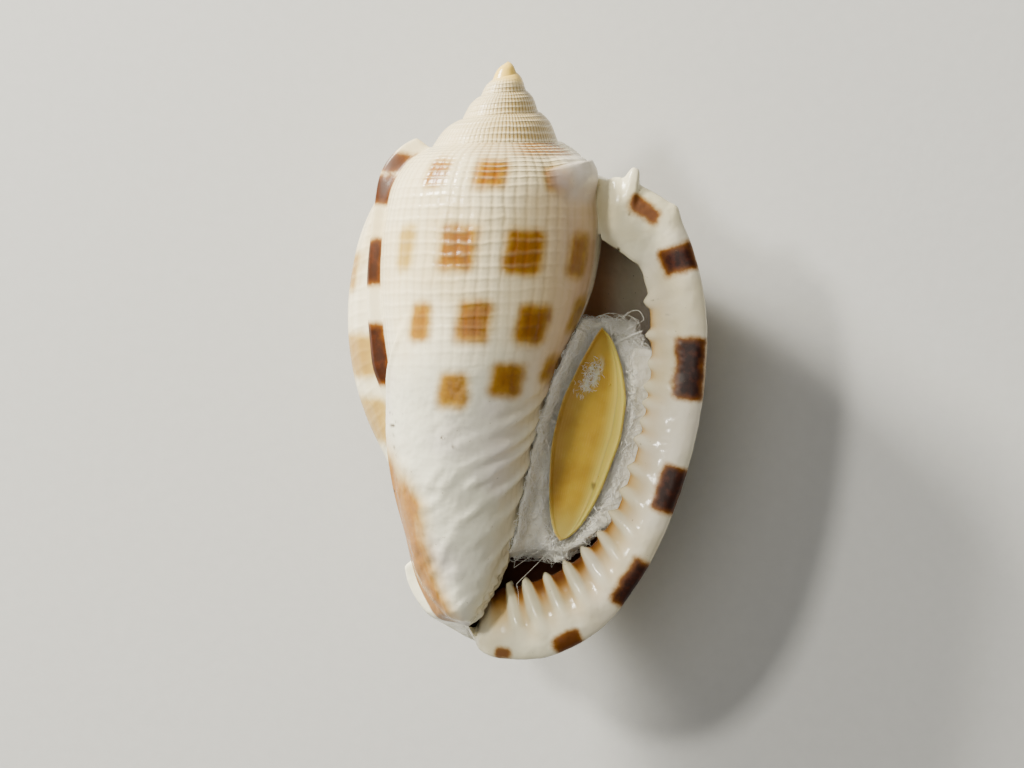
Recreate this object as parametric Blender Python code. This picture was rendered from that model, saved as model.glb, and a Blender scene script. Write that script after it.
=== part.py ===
"""Bonnet-type helmet shell lying on its back, mouth up, with its operculum set in cotton wool.

Run with:  blender --background --python part.py

The shell is one solid. Its outer surface is a strip that coils round the axis from the apex to the
outer lip, each turn sewn to the one before along the suture. At the lip the strip turns over a thick
rim and goes back as the lining of the last whorl, down to the columella.

Shell coordinates: x to the lip side, t down the axis from the apex, z to the mouth side, millimetres.
The growth angle starts at +x and turns through the mouth side, so the coil is right-handed.
"""
import math

import bpy
import bmesh
import numpy as np
from mathutils import Matrix, Vector
from mathutils.bvhtree import BVHTree

MM = 0.001

# ---------------------------------------------------------------- driving dimensions (mm, degrees)
LIP_ANGLE = 380.0            # growth angle where the shell ends at the outer lip
WALL = 1.15                  # wall of the last whorl
TIP = (-0.55, 49.4, 1.4)     # front end of the columella, where all sections run together
VARIX_ANGLE = 181.6          # crest of the old lip
VARIX_HEIGHT = 1.35          # its height at the shoulder
VARIX_HEIGHT_LOW = 0.85      # and lower down, where the new whorl stands higher
SHIELD_STEP = 0.60           # free edge of the columellar shield over the new whorl
FASCIOLE_STEP = 0.45         # ridge left by the old canal notches
FASCIOLE_LOBE = 1.15         # its free lobe beside the lower end of the shield
CALLUS_RISE = 0.38           # tongue of callus beside the upper end of the lip
CALLUS_EAR = 0.95            # free upper edge of that tongue, over the rest of it
RIM_RISE = 1.25              # how far the rim of the lip rounds up between its two edges
SPINE_HEIGHT = 1.15          # small spine on the upper edge of the lip
KNOB_HEIGHT = 0.40           # blunt knob below the spine
TOOTH = (0.62, 0.45)         # half width and rise of a fold on the lip
LIRA = (0.42, 0.26)          # half width and rise of a ridge on the columella
MOUTH_GAP = 0.35             # clearance of the cotton wool inside the shell
PLATE = 0.45                 # thickness of the operculum
PLATE_GAP = 0.30             # its distance above the cotton wool
COTTON_TOP = 1.80            # front of the cotton wool above the axis

# folds across the inner half of the lip: station, then where each starts and ends over the rim
TEETH = [
    (3.92, 0.64, 0.88), (4.62, 0.64, 0.90), (5.19, 0.62, 0.90), (5.61, 0.62, 0.90),
    (5.91, 0.62, 0.90), (6.23, 0.60, 0.90), (6.54, 0.58, 0.90), (7.01, 0.56, 0.90),
    (7.43, 0.54, 0.90), (7.86, 0.52, 0.90), (8.28, 0.49, 0.90), (8.66, 0.47, 0.90),
    (9.08, 0.45, 0.90), (9.54, 0.44, 0.90), (10.02, 0.43, 0.90), (10.52, 0.44, 0.88),
]
# oblique ridges of the columella: growth angle and station of their upper and lower ends
LIRAE = [
    (14, 7.55, 84, 8.65), (14, 7.92, 94, 9.15), (14, 8.30, 100, 9.62), (14, 8.70, 102, 10.05),
    (14, 9.10, 98, 10.42), (14, 9.50, 88, 10.72), (14, 9.90, 74, 10.95), (14, 10.30, 56, 11.10),
]

# operculum: line from its upper to its lower tip, and how far its two edges stand off it
PLATE_ENDS = ((9.50, 22.70), (6.95, 41.50))
PLATE_LEFT = [(0.0, 0.0), (0.05, 0.42), (0.23, 1.50), (0.39, 2.20), (0.54, 2.35), (0.72, 1.98),
              (0.86, 1.45), (0.96, 0.72), (1.0, 0.0)]
PLATE_RIGHT = [(0.0, 0.0), (0.04, 0.95), (0.10, 1.75), (0.19, 2.60), (0.33, 3.35), (0.47, 3.48),
               (0.61, 3.12), (0.755, 2.60), (0.89, 1.75), (0.97, 0.80), (1.0, 0.0)]

# suture: growth angle, radius, distance down the axis; past the lip it is the line on the last
# whorl where a next whorl would join
SUTURE = [
    (-1420, 0.16, 0.10), (-1250, 0.42, 0.36), (-1080, 0.80, 0.92), (-900, 1.26, 1.76),
    (-720, 1.70, 2.43), (-540, 2.20, 3.22), (-360, 2.87, 4.22), (-180, 3.70, 5.39),
    (0, 4.74, 6.70), (180, 6.17, 7.91), (380, 8.02, 9.42), (420, 8.45, 9.85),
    (460, 8.80, 10.25), (500, 9.00, 10.50), (535, 9.20, 10.75), (544, 9.30, 10.70),
    (565, 9.90, 10.80), (600, 10.20, 10.90), (640, 10.60, 11.00), (680, 11.00, 11.00),
    (710, 11.20, 10.90), (740, 11.30, 10.80),
]

# cross-sections below that line: growth angle, then (radius, distance down the axis) of nine
# stations from the upper flank to the ridge above the canal
SECTIONS = [
    (-340, [(5.30, 8.2), (5.40, 10.2), (4.90, 13.0), (4.00, 16.5), (3.10, 21.0), (2.60, 26.0),
            (2.30, 32.0), (2.00, 38.0), (1.70, 43.0)]),
    (-160, [(7.00, 9.6), (7.20, 12.0), (6.60, 15.2), (5.40, 19.0), (4.10, 23.5), (3.30, 28.5),
            (2.90, 34.0), (2.50, 39.5), (2.00, 44.0)]),
    (20, [(8.85, 11.6), (9.25, 14.8), (8.80, 19.4), (7.50, 23.5), (5.90, 27.3), (4.70, 31.3),
            (3.95, 35.5), (3.30, 40.0), (2.50, 44.0)]),
    (60, [(9.20, 12.0), (9.55, 15.2), (9.35, 19.6), (8.60, 24.0), (7.50, 28.2), (6.50, 32.3),
            (5.70, 36.3), (4.90, 40.5), (3.80, 44.3)]),
    (100, [(9.50, 12.3), (9.80, 15.8), (9.65, 20.2), (9.10, 24.6), (8.35, 28.8), (7.60, 32.8),
            (6.85, 36.8), (5.90, 41.0), (4.60, 44.8)]),
    (140, [(9.70, 12.7), (10.00, 16.1), (9.90, 20.6), (9.40, 25.0), (8.60, 29.2), (8.00, 33.2),
            (7.25, 37.2), (6.15, 41.3), (4.75, 45.0)]),
    (175, [(9.80, 12.9), (10.08, 16.2), (9.95, 20.8), (9.30, 25.2), (8.40, 29.4), (8.00, 33.4),
            (7.20, 37.3), (6.10, 41.3), (4.80, 45.0)]),
    (184, [(9.90, 12.9), (10.35, 16.3), (10.45, 21.0), (9.90, 25.6), (9.00, 29.8), (7.90, 33.9),
            (6.80, 38.0), (5.80, 42.2), (5.00, 45.2)]),
    (192, [(11.00, 13.0), (12.00, 16.7), (12.30, 21.5), (11.80, 26.4), (10.30, 30.8), (8.50, 34.9),
            (6.90, 38.9), (5.80, 42.6), (5.25, 45.2)]),
    (205, [(12.00, 13.2), (13.45, 17.0), (13.95, 22.0), (13.30, 27.3), (11.60, 31.8), (9.20, 35.8),
            (7.10, 39.8), (5.90, 43.1), (5.50, 45.4)]),
    (240, [(12.50, 13.4), (13.90, 17.4), (14.20, 22.6), (13.50, 27.8), (11.90, 32.3), (9.60, 36.4),
            (7.40, 40.4), (6.20, 43.6), (6.00, 46.0)]),
    (280, [(13.00, 13.6), (14.40, 17.8), (14.60, 23.0), (13.90, 28.3), (12.30, 33.0), (10.10, 37.2),
            (7.90, 41.2), (6.60, 44.2), (6.30, 46.7)]),
    (320, [(13.90, 13.8), (15.50, 18.2), (15.90, 23.6), (15.20, 29.0), (13.60, 34.0), (11.40, 38.5),
            (9.00, 42.6), (7.00, 45.9), (5.70, 48.4)]),
    (350, [(14.60, 13.6), (16.60, 18.4), (17.10, 24.2), (16.50, 30.2), (15.00, 35.7), (12.80, 40.6),
            (10.20, 44.9), (7.00, 48.1), (4.20, 50.0)]),
    (380, [(14.70, 13.2), (16.60, 18.6), (17.30, 24.6), (16.90, 30.6), (15.70, 36.4), (13.50, 42.0),
            (10.40, 46.7), (6.30, 49.6), (2.70, 50.6)]),
]

# the two stations at the canal, where the sections leave the axis: growth angle, x, t, z
CANAL_RING = [
    (-340, 0.20, 46.6, 1.1), (-250, -0.60, 46.7, 1.8), (-160, -1.40, 46.9, 0.6),
    (-70, -0.50, 47.0, -0.3), (20, 0.95, 47.3, 1.6), (60, 0.40, 47.6, 3.1),
    (100, -0.90, 47.9, 3.7), (140, -2.20, 47.8, 3.0), (175, -3.00, 47.6, 1.6),
    (184, -3.45, 47.8, 0.6), (192, -3.90, 48.0, -0.2), (205, -4.00, 48.1, -1.1),
    (240, -2.90, 48.7, -3.3), (280, -0.60, 49.6, -4.4), (320, 0.90, 50.4, -3.9),
    (350, 1.10, 50.8, -2.9), (380, 0.80, 50.8, -1.9),
]
TIP_RING = [
    (-340, 0.15, 48.10, 1.2), (-250, -0.25, 48.20, 1.65), (-160, -0.70, 48.25, 1.0),
    (-70, -0.15, 48.30, 0.65), (20, 0.50, 48.40, 1.65), (60, 0.05, 48.60, 2.15),
    (100, -0.50, 48.75, 2.3), (140, -1.15, 48.75, 2.0), (175, -1.65, 48.75, 1.5),
    (184, -2.00, 48.85, 0.9), (192, -2.30, 48.95, 0.4), (205, -2.40, 49.05, -0.4),
    (240, -2.00, 49.40, -2.2), (280, -1.40, 49.90, -3.0), (320, -0.80, 50.20, -3.3),
    (350, -0.50, 50.30, -3.2), (380, -0.40, 50.20, -2.8),
]

# outer lip, station by station from the suture to the tip: where the whorl ends behind the rim,
# the outer edge of the rim, and its inner edge (x, t, z)
LIP_BACK = [
    (7.53, 9.42, 2.74), (9.30, 10.00, 2.10), (11.00, 10.70, 2.10), (14.40, 13.10, 2.30),
    (16.40, 18.60, 2.30), (17.10, 24.60, 2.30), (16.70, 30.60, 2.40), (15.50, 36.40, 2.50),
    (13.30, 42.00, 2.50), (10.20, 46.70, 2.20), (6.20, 49.70, 1.30), (2.90, 50.70, -0.30),
    (0.80, 50.80, -1.90), (-0.40, 50.20, -2.80), TIP,
]
LIP_OUTER = [
    (7.80, 10.00, 2.75), (9.05, 10.05, 3.35), (10.80, 9.85, 4.10), (15.20, 12.30, 5.00),
    (17.90, 18.40, 5.20), (18.70, 24.80, 5.20), (18.25, 31.00, 5.40), (16.95, 37.10, 5.60),
    (14.65, 43.20, 5.60), (11.20, 48.50, 5.00), (6.70, 51.45, 3.90), (2.40, 51.95, 2.20),
    (0.60, 51.40, 0.60), (0.05, 50.55, -0.90), TIP,
]
LIP_INNER = [
    (8.69, 14.80, 3.16), (9.45, 15.40, 3.25), (10.75, 16.05, 3.15), (12.65, 17.60, 2.90),
    (13.50, 20.60, 3.00), (13.95, 24.80, 3.30), (13.75, 29.50, 3.60), (12.85, 34.70, 3.70),
    (11.25, 39.50, 3.55), (8.00, 43.40, 2.85), (4.35, 45.35, 1.85), (1.80, 46.05, 0.00),
    (0.60, 48.00, -0.55), (0.10, 49.40, -1.20), TIP,
]
REST_ROLL = 17.7             # how the shell lies: lip side down,
REST_PITCH = 2.75            # and this much nose down towards the canal
STATIONS = 14                # the sections have stations 0 (suture) to 14 (tip)


# ---------------------------------------------------------------- curves
def smooth(low, high, value):
    """Smooth step from 0 at low to 1 at high."""
    u = np.clip((np.asarray(value, float) - low) / (high - low), 0.0, 1.0)
    return u * u * (3.0 - 2.0 * u)


def hermite(knots, values, slopes, at):
    """Cubic curve through values at the knots with the given slopes."""
    i = np.clip(np.searchsorted(knots, at, side="right") - 1, 0, len(knots) - 2)
    h = knots[i + 1] - knots[i]
    u = (at - knots[i]) / h
    a = (1 + 2 * u) * (1 - u) ** 2 * values[i] + u * u * (3 - 2 * u) * values[i + 1]
    return a + h * (u * (1 - u) ** 2 * slopes[i] - u * u * (1 - u) * slopes[i + 1])


def monotone(knots, values, at):
    """Cubic curve that doesn't overshoot its values."""
    knots = np.asarray(knots, float)
    values = np.asarray(values, float)
    step = np.diff(values) / np.diff(knots)
    slopes = np.empty_like(values)
    slopes[0] = step[0]
    slopes[-1] = step[-1]
    product = step[:-1] * step[1:]
    total = np.where(product > 0, step[:-1] + step[1:], 1.0)
    slopes[1:-1] = np.where(product > 0, 2.0 * product / total, 0.0)
    return hermite(knots, values, slopes, np.asarray(at, float))


def along(stations, at):
    """Rounded curve through the stations 0, 1, 2, ... of an array."""
    last = len(stations) - 1
    i = np.clip(np.floor(at).astype(int), 0, last - 1)
    u = (at - i).reshape((-1,) + (1,) * (stations.ndim - 1))
    slope = np.empty_like(stations)
    slope[1:-1] = (stations[2:] - stations[:-2]) / 2.0
    slope[0] = stations[1] - stations[0]
    slope[-1] = stations[-1] - stations[-2]
    a = (1 + 2 * u) * (1 - u) ** 2 * stations[i] + u * u * (3 - 2 * u) * stations[i + 1]
    return a + u * (1 - u) ** 2 * slope[i] - u * u * (1 - u) * slope[i + 1]


# ---------------------------------------------------------------- the coiled surface
def suture(theta):
    keys = np.array(SUTURE)
    return monotone(keys[:, 0], keys[:, 1], theta), monotone(keys[:, 0], keys[:, 2], theta)


def section_stations(theta):
    """The stations of the section at each growth angle, as points (station, angle, xyz)."""
    r = np.zeros((12, len(theta)))
    t = np.zeros_like(r)
    r[0], t[0] = suture(theta)
    r[2], t[2] = suture(theta + 360.0)
    r[1] = r[0] + 0.60 * (r[2] - r[0])
    t[1] = t[0] + 0.40 * (t[2] - t[0])
    angles = np.array([key for key, _ in SECTIONS], float)
    table = np.array([points for _, points in SECTIONS])
    held = np.maximum(theta, angles[0])
    edge_r, edge_t = suture(held + 360.0)
    scale = r[2] / edge_r
    for k in range(3, 12):
        r[k] = r[2] + scale * (monotone(angles, table[:, k - 3, 0], held) - edge_r)
        t[k] = t[2] + scale * (monotone(angles, table[:, k - 3, 1], held) - edge_t)
    turn = np.radians(theta)
    points = np.zeros((STATIONS + 1, len(theta), 3))
    points[:12] = np.stack([r * np.cos(turn), t, r * np.sin(turn)], -1)
    for k, ring in ((12, CANAL_RING), (13, TIP_RING)):
        ring = np.array(ring)
        for axis in range(3):
            points[k, :, axis] = monotone(ring[:, 0], ring[:, axis + 1], held)
    points[STATIONS] = TIP
    return points


def shield_edge(k):
    """Growth angle of the free edge of the columellar shield."""
    return monotone([5.0, 5.6, 6.2, 7.0, 8.0, 9.0, 10.0, 11.0, 12.0, 14.0],
                    [128, 143, 156, 168, 175, 177, 179, 182, 186, 194], k)


def relief(theta, k):
    """Raised features of the outer surface, along its normal."""
    height = VARIX_HEIGHT + (VARIX_HEIGHT_LOW - VARIX_HEIGHT) * smooth(1.5, 4.0, k)
    ridge = smooth(175.5, 180.4, theta) - smooth(VARIX_ANGLE + 0.6, 187.5, theta)
    rise = height * ridge * smooth(0.0, 0.45, k) * (1 - smooth(6.3, 7.4, k))
    edge = shield_edge(k)
    plate = smooth(60, 120, theta) * (1 - smooth(edge - 1.5, edge + 2.5, theta))
    rise = rise + SHIELD_STEP * plate * smooth(5.2, 6.8, k) * (1 - smooth(12.2, 13.6, k))
    band = smooth(edge + 2.0, edge + 8.0, theta) * (1 - smooth(330, 365, theta))
    lobe = (FASCIOLE_LOBE - FASCIOLE_STEP) * (1 - smooth(210, 260, theta)) * (1 - smooth(11.0, 12.3, k))
    low = FASCIOLE_STEP * (1 - smooth(12.0, 13.4, k)) + lobe
    rise = rise + low * band * smooth(10.35, 10.70, k)
    tongue = smooth(8, 19, theta) * (1 - smooth(46, 62, theta))
    rise = rise + CALLUS_RISE * tongue * smooth(1.0, 1.5, k) * (1 - smooth(2.4, 3.2, k))
    ear = smooth(20.5, 26, theta) * (1 - smooth(28, 62, theta))
    return rise + CALLUS_EAR * ear * smooth(1.68, 1.95, k) * (1 - smooth(2.0, 2.8, k))


def lip_line(points, k):
    return along(np.array(points, float), np.asarray(k, float))


def outer_points(theta, k):
    """Points (station, angle, xyz) of the outer surface."""
    theta = np.asarray(theta, float)
    k = np.asarray(k, float)
    stations = section_stations(theta)
    end = section_stations(np.array([LIP_ANGLE]))
    turn = smooth(318, LIP_ANGLE, theta)[None, :, None]
    stations = stations + turn * (np.array(LIP_BACK)[:, None, :] - end)
    points = along(stations, k)
    step = along(stations, np.minimum(k + 0.05, STATIONS)) - along(stations, np.maximum(k - 0.05, 0.0))
    radius = np.maximum(np.hypot(points[..., 0], points[..., 2]), 1e-6)
    out_x = points[..., 0] / radius
    out_z = points[..., 2] / radius
    dr = step[..., 0] * out_x + step[..., 2] * out_z
    rise = relief(theta[None, :], k[:, None]) / np.maximum(np.hypot(dr, step[..., 1]), 1e-6)
    raised = rise * step[..., 1]
    return points + np.stack([raised * out_x, -rise * dr, raised * out_z], -1)


# ---------------------------------------------------------------- the shell as one closed body
TURN = [20, 26, 38, 52, 66, 80, 92, 104, 116, 128, 140, 152, 162, 170, 175.5, 178, 180.8, 182.2,
        185, 189, 195, 205, 217, 229, 241, 253, 264, 275, 287, 303, 314, 326, 338, 349, 359, 369]
ROWS = [0, 0.45, 1, 1.5, 2, 2.12, 2.24, 2.42, 2.6, 2.8, 3.0, 3.5, 4, 4.35, 4.75, 5.3, 5.75, 6.2,
        6.6, 7, 7.5, 8, 8.5, 9, 9.5, 10, 10.35, 10.75, 11.3, 12, 12.6, 13.3, 14]
REST_FACET = (287, 4.75)     # the facet of the back that it rests on, from this angle and station
SEAM = 4                     # row that is sewn to the turn before
CAVITY_TOP = 2.24            # station where the lining starts to follow the outer surface
RIM = [0, 0.12, 0.24, 0.36, 0.48, 0.60, 0.72, 0.86, 1.0]     # columns over the rim of the lip
OLD_TURNS = 4


def lining(outer, inner):
    """Wall of the cavity: WALL inside the outer surface, and straight up from the inner wall to that."""
    gap = np.linalg.norm(inner - outer, axis=-1, keepdims=True)
    lined = outer + np.minimum(WALL / np.maximum(gap, 1e-6), 0.5) * (inner - outer)
    level = ROWS.index(CAVITY_TOP)
    share = (np.array(ROWS[:level], float) / CAVITY_TOP)[:, None, None]
    lined[:level] = inner[0] + share * (lined[level] - inner[0])
    return lined


def rim_points(rows, back, inside, places):
    """Cross-sections of the lip from the whorl (0) over the rim to the lining (1)."""
    crest = lip_line(LIP_OUTER, rows)
    inner = lip_line(LIP_INNER, rows)
    full = smooth(0.0, 2.0, rows) * (1 - smooth(12.0, STATIONS, rows))
    spine = np.clip(1 - np.abs(rows - 2.12) / 0.13, 0, 1)
    knob = np.clip(1 - np.abs(rows - 3.0) / 0.3, 0, 1)
    crest = crest + (SPINE_HEIGHT * spine)[:, None] * np.array([0.35, -1.0, 0.2])
    crest = crest + (KNOB_HEIGHT * knob)[:, None] * np.array([0.5, -0.8, 0.0])
    front = 0.55 * crest + 0.45 * inner
    front[:, 2] = front[:, 2] + RIM_RISE * full
    keys = np.stack([back, crest, front, inner, inside])
    where = np.interp(places, [0, 0.28, 0.52, 0.80, 1.0], [0, 1, 2, 3, 4])
    return along(keys, where)


def zip_faces(first, second, points):
    """Triangles between two rows of vertices that start and end together."""
    faces = []
    i = 0
    j = 0
    while i < len(first) - 1 or j < len(second) - 1:
        far = 1e9
        step_i = far
        step_j = far
        if i < len(first) - 1:
            step_i = np.linalg.norm(points[first[i + 1]] - points[second[j]])
        if j < len(second) - 1:
            step_j = np.linalg.norm(points[second[j + 1]] - points[first[i]])
        if step_i <= step_j:
            faces.append((first[i], first[i + 1], second[j]))
            i = i + 1
        else:
            faces.append((first[i], second[j + 1], second[j]))
            j = j + 1
    return faces


def rest_turn():
    """Turn from the shell's own axes, apex to +Y and mouth to +Z, to how it lies."""
    pitch = Matrix.Rotation(math.radians(REST_PITCH), 4, "X")
    return pitch @ Matrix.Rotation(math.radians(REST_ROLL), 4, "Y")


def level_facet(outer, column, row):
    """Move the corners of one facet into one level plane, as the shell lies."""
    up = np.array(rest_turn())[2, :3]
    up = np.array([up[0], -up[1], up[2]])
    corners = [(row + i, column + j) for i in (0, 1) for j in (0, 1)]
    level = np.mean([outer[corner] @ up for corner in corners])
    for corner in corners:
        outer[corner] = outer[corner] + (level - outer[corner] @ up) * up


def shell_body():
    """Vertices and faces of the whole shell."""
    rows = np.array(ROWS, float)
    per_turn = len(TURN)
    angles = [a - 360.0 * n for n in range(OLD_TURNS, -1, -1) for a in TURN] + [LIP_ANGLE]
    angles = np.array(angles, float)
    last = len(angles) - 1
    mouth = last - per_turn            # column at the inner edge of the mouth
    deep = mouth - per_turn            # column where the cavity ends
    outer = outer_points(angles, rows)
    level_facet(outer, mouth + TURN.index(REST_FACET[0]), ROWS.index(REST_FACET[1]))
    points = []
    index = {}

    def place(key, xyz):
        if key not in index:
            index[key] = len(points)
            points.append(np.array(xyz, float))
        return index[key]

    end = len(rows) - 1
    depth = len(RIM) - 1

    def o(c, i):
        if i == end:
            return place("tip", TIP)
        if i == SEAM and c <= mouth:
            return place(("o", c + per_turn, 0), outer[i, c])
        return place(("o", c, i), outer[i, c])

    for c in range(mouth + 1):
        o(c, SEAM)
    hidden = list(range(deep, mouth, 2)) + [mouth]
    first = SEAM + depth
    wall_rows = np.interp(np.arange(end + 1), [0, end], [first, end])
    low = np.floor(wall_rows).astype(int)
    high = np.minimum(low + 1, end)
    part = (wall_rows - low)[:, None, None]
    inner = outer[low, deep:mouth + 1] * (1 - part) + outer[high, deep:mouth + 1] * part
    inside = lining(outer[:, mouth:], inner)

    def n(c, i):
        if i == 0:
            return o(c - per_turn, first)
        if i == end:
            return o(c, end)
        return place(("n", c, i), inside[i, c - mouth])

    rim = rim_points(rows, outer[:, last], inside[:, -1], RIM)

    def lip(i, m):
        if m == 0:
            return o(last, i)
        if m == depth:
            return n(last, i)
        if i == 0:
            return o(mouth, SEAM + m)
        if i == end:
            return o(last, end)
        return place(("l", i, m), rim[m, i])

    faces = []

    def quad(*corners):
        kept = [v for k, v in enumerate(corners) if v != corners[k - 1]]
        if len(kept) > 2:
            faces.append(tuple(kept))

    for c in range(last):
        for i in range(end if c >= mouth else SEAM):
            quad(o(c, i), o(c, i + 1), o(c + 1, i + 1), o(c + 1, i))
    for a, b in zip(hidden[:-1], hidden[1:]):
        for i in range(first, end):
            quad(o(a, i), o(a, i + 1), o(b, i + 1), o(b, i))
        for i in range(end):
            quad(n(a + per_turn, i + 1), n(a + per_turn, i), n(b + per_turn, i), n(b + per_turn, i + 1))
    for i in range(end):
        for m in range(depth):
            quad(lip(i, m), lip(i + 1, m), lip(i + 1, m + 1), lip(i, m + 1))
    wall = [o(deep, i) for i in range(first, end + 1)]
    back = [n(mouth, i) for i in range(end + 1)]
    for face in zip_faces(back, wall, points):
        quad(*face)
    apex = place("apex", (0.0, 0.0, 0.0))
    ring = [o(c, 0) for c in range(per_turn + 1)] + [o(0, i) for i in range(SEAM - 1, 0, -1)]
    for a, b in zip(ring, ring[1:] + ring[:1]):
        quad(apex, a, b)
    return np.array(points), faces


# ---------------------------------------------------------------- folds, wool and operculum
def welt(path, half_width, rise, sides=5):
    """A slim ridge along a path, thickest in its middle, for fusing to the surface under it."""
    path = np.asarray(path, float)
    ahead = np.gradient(path[:, :3], axis=0)
    ahead = ahead / np.linalg.norm(ahead, axis=1)[:, None]
    up = path[:, 3:]
    across = np.cross(ahead, up)
    across = across / np.linalg.norm(across, axis=1)[:, None]
    points = []
    faces = []
    rings = len(path)
    for k in range(rings):
        swell = 0.25 + 0.75 * math.sin(math.pi * k / (rings - 1)) ** 0.7
        for n in range(sides):
            turn = 2 * math.pi * (n + 0.25) / sides
            side = half_width * swell * math.cos(turn) * across[k]
            points.append(path[k, :3] + side + rise * swell * math.sin(turn) * up[k])
    for k in range(rings - 1):
        for n in range(sides):
            m = (n + 1) % sides
            faces.append((k * sides + n, k * sides + m, (k + 1) * sides + m, (k + 1) * sides + n))
    faces.append(tuple(range(sides)))
    faces.append(tuple((rings - 1) * sides + n for n in range(sides)))
    return points, faces


def joined(pieces):
    points = []
    faces = []
    for more, corners in pieces:
        start = len(points)
        points.extend(more)
        faces.extend(tuple(v + start for v in face) for face in corners)
    return np.array(points), faces


def lip_surface(k, places):
    """Points over the rim of the lip at one station."""
    rows = np.array([k])
    back = outer_points([LIP_ANGLE], rows)[:, 0]
    wall = outer_points([LIP_ANGLE - 360.0], np.array([4.0 + k * (STATIONS - 4.0) / STATIONS]))[:, 0]
    gap = np.linalg.norm(wall - back)
    inside = back + min(WALL / gap, 0.5) * (wall - back)
    return rim_points(rows, back, inside, np.asarray(places))[:, 0]


def lip_folds():
    pieces = []
    for k, start, end in TEETH:
        places = np.linspace(start, end, 5)
        here = lip_surface(k, places)
        beside = lip_surface(k + 0.05, places)
        up = np.cross(beside - here, np.gradient(here, axis=0))
        up = up / np.linalg.norm(up, axis=1)[:, None]
        up = up * np.sign(up[1, 2])
        pieces.append(welt(np.hstack([here, up]), *TOOTH))
    return joined(pieces)


def columella_ridges():
    pieces = []
    for high, k_high, low, k_low in LIRAE:
        path = []
        for u in np.linspace(0, 1, 5):
            theta = high + (low - high) * u
            k = k_high + (k_low - k_high) * u
            patch = outer_points([theta, theta + 1.0], np.array([k, k + 0.05]))
            up = np.cross(patch[0, 1] - patch[0, 0], patch[1, 0] - patch[0, 0])
            up = up / np.linalg.norm(up)
            up = up * np.sign(up[0] * math.cos(math.radians(theta)) + up[2] * math.sin(math.radians(theta)))
            path.append(np.concatenate([patch[0, 0], up]))
        pieces.append(welt(path, *LIRA))
    return joined(pieces)


def wool_pad(tree):
    """Pad pressed into the mouth: rings at even steps down the axis, each as wide as the mouth lets it."""
    sides = 24
    levels = np.linspace(22.4, 43.4, 14)
    points = []
    faces = []
    for level, t in enumerate(levels):
        u = level / (len(levels) - 1)
        centre = np.array([10.9 - 6.2 * u, t, -0.2])
        round_end = math.sin(math.pi * (0.06 + 0.88 * u)) ** 0.5
        for n in range(sides):
            turn = 2 * math.pi * n / sides
            heading = np.array([math.cos(turn), 0.0, math.sin(turn)])
            reach = 5.0 * round_end
            if heading[2] > 0:
                reach = min(reach, (COTTON_TOP - centre[2]) * round_end ** 0.5 / heading[2])
            for tilt in (-0.30, -0.15, 0.0, 0.15, 0.30):
                for spread in (-0.20, 0.0, 0.20):
                    ray = np.array([math.cos(turn + spread), tilt, math.sin(turn + spread)])
                    start = Vector((centre[0], -centre[1], centre[2])) * MM
                    hit = tree.ray_cast(start, Vector((ray[0], -ray[1], ray[2])))
                    if hit[0] is not None:
                        reach = min(reach, hit[3] / MM - MOUTH_GAP)
            points.append(centre + max(reach, 0.3) * heading)
    for level in range(len(levels) - 1):
        for n in range(sides):
            m = (n + 1) % sides
            a = level * sides
            b = a + sides
            faces.append((a + n, a + m, b + m, b + n))
    faces.append(tuple(range(sides)))
    faces.append(tuple((len(levels) - 1) * sides + n for n in range(sides)))
    return np.array(points), faces


def operculum_plate():
    """Thin half-moon plate with rounded edges, a little arched across."""
    ends = np.array(PLATE_ENDS)
    run = ends[1] - ends[0]
    run = run / np.linalg.norm(run)
    side = np.array([-run[1], run[0]])
    side = side * np.sign(side[0])
    left = np.array(PLATE_LEFT)
    right = np.array(PLATE_RIGHT)
    stops = np.array([0.0, 0.02, 0.06, 0.12, 0.2, 0.3, 0.4, 0.5, 0.6, 0.7, 0.8, 0.88, 0.94, 0.98, 1.0])
    outline = []
    for u in stops:
        outline.append(ends[0] + u * (ends[1] - ends[0]) + side * monotone(right[:, 0], right[:, 1], u))
    for u in stops[-2:0:-1]:
        outline.append(ends[0] + u * (ends[1] - ends[0]) - side * monotone(left[:, 0], left[:, 1], u))
    outline = np.array(outline)
    middle = ends.mean(0) + 0.5 * side
    base = COTTON_TOP + PLATE_GAP
    layers = [(0.93, 0.0), (1.0, 0.3 * PLATE), (1.0, 0.6 * PLATE), (0.93, PLATE)]
    points = []
    faces = []
    count = len(outline)
    for shrink, height in layers:
        for x, t in middle + shrink * (outline - middle):
            points.append((x, t, base + height))
    for k in range(len(layers) - 1):
        for n in range(count):
            m = (n + 1) % count
            faces.append((k * count + n, k * count + m, (k + 1) * count + m, (k + 1) * count + n))
    top = len(points)
    points.append((middle[0], middle[1], base + PLATE + 0.12))
    points.append((middle[0], middle[1], base + 0.12))
    for n in range(count):
        m = (n + 1) % count
        faces.append((3 * count + n, 3 * count + m, top))
        faces.append((n, m, top + 1))
    return np.array(points), faces


# ---------------------------------------------------------------- building
def to_part(points):
    """Shell coordinates in mm to metres, apex to +Y and mouth up."""
    return np.stack([points[:, 0], -points[:, 1], points[:, 2]], 1) * MM


def material(name, colour, roughness, metallic=0.0):
    made = bpy.data.materials.new(name)
    made.use_nodes = True
    shader = made.node_tree.nodes["Principled BSDF"]
    shader.inputs["Base Color"].default_value = (*colour, 1.0)
    shader.inputs["Roughness"].default_value = roughness
    shader.inputs["Metallic"].default_value = metallic
    return made


def mesh_object(name, points, faces, collection, look):
    mesh = bpy.data.meshes.new(name)
    mesh.from_pydata([tuple(p) for p in points], [], faces)
    bm = bmesh.new()
    bm.from_mesh(mesh)
    bmesh.ops.recalc_face_normals(bm, faces=bm.faces)
    bmesh.ops.triangulate(bm, faces=bm.faces)
    bm.to_mesh(mesh)
    bm.free()
    made = bpy.data.objects.new(name, mesh)
    collection.objects.link(made)
    mesh.materials.append(look)
    return made


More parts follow.
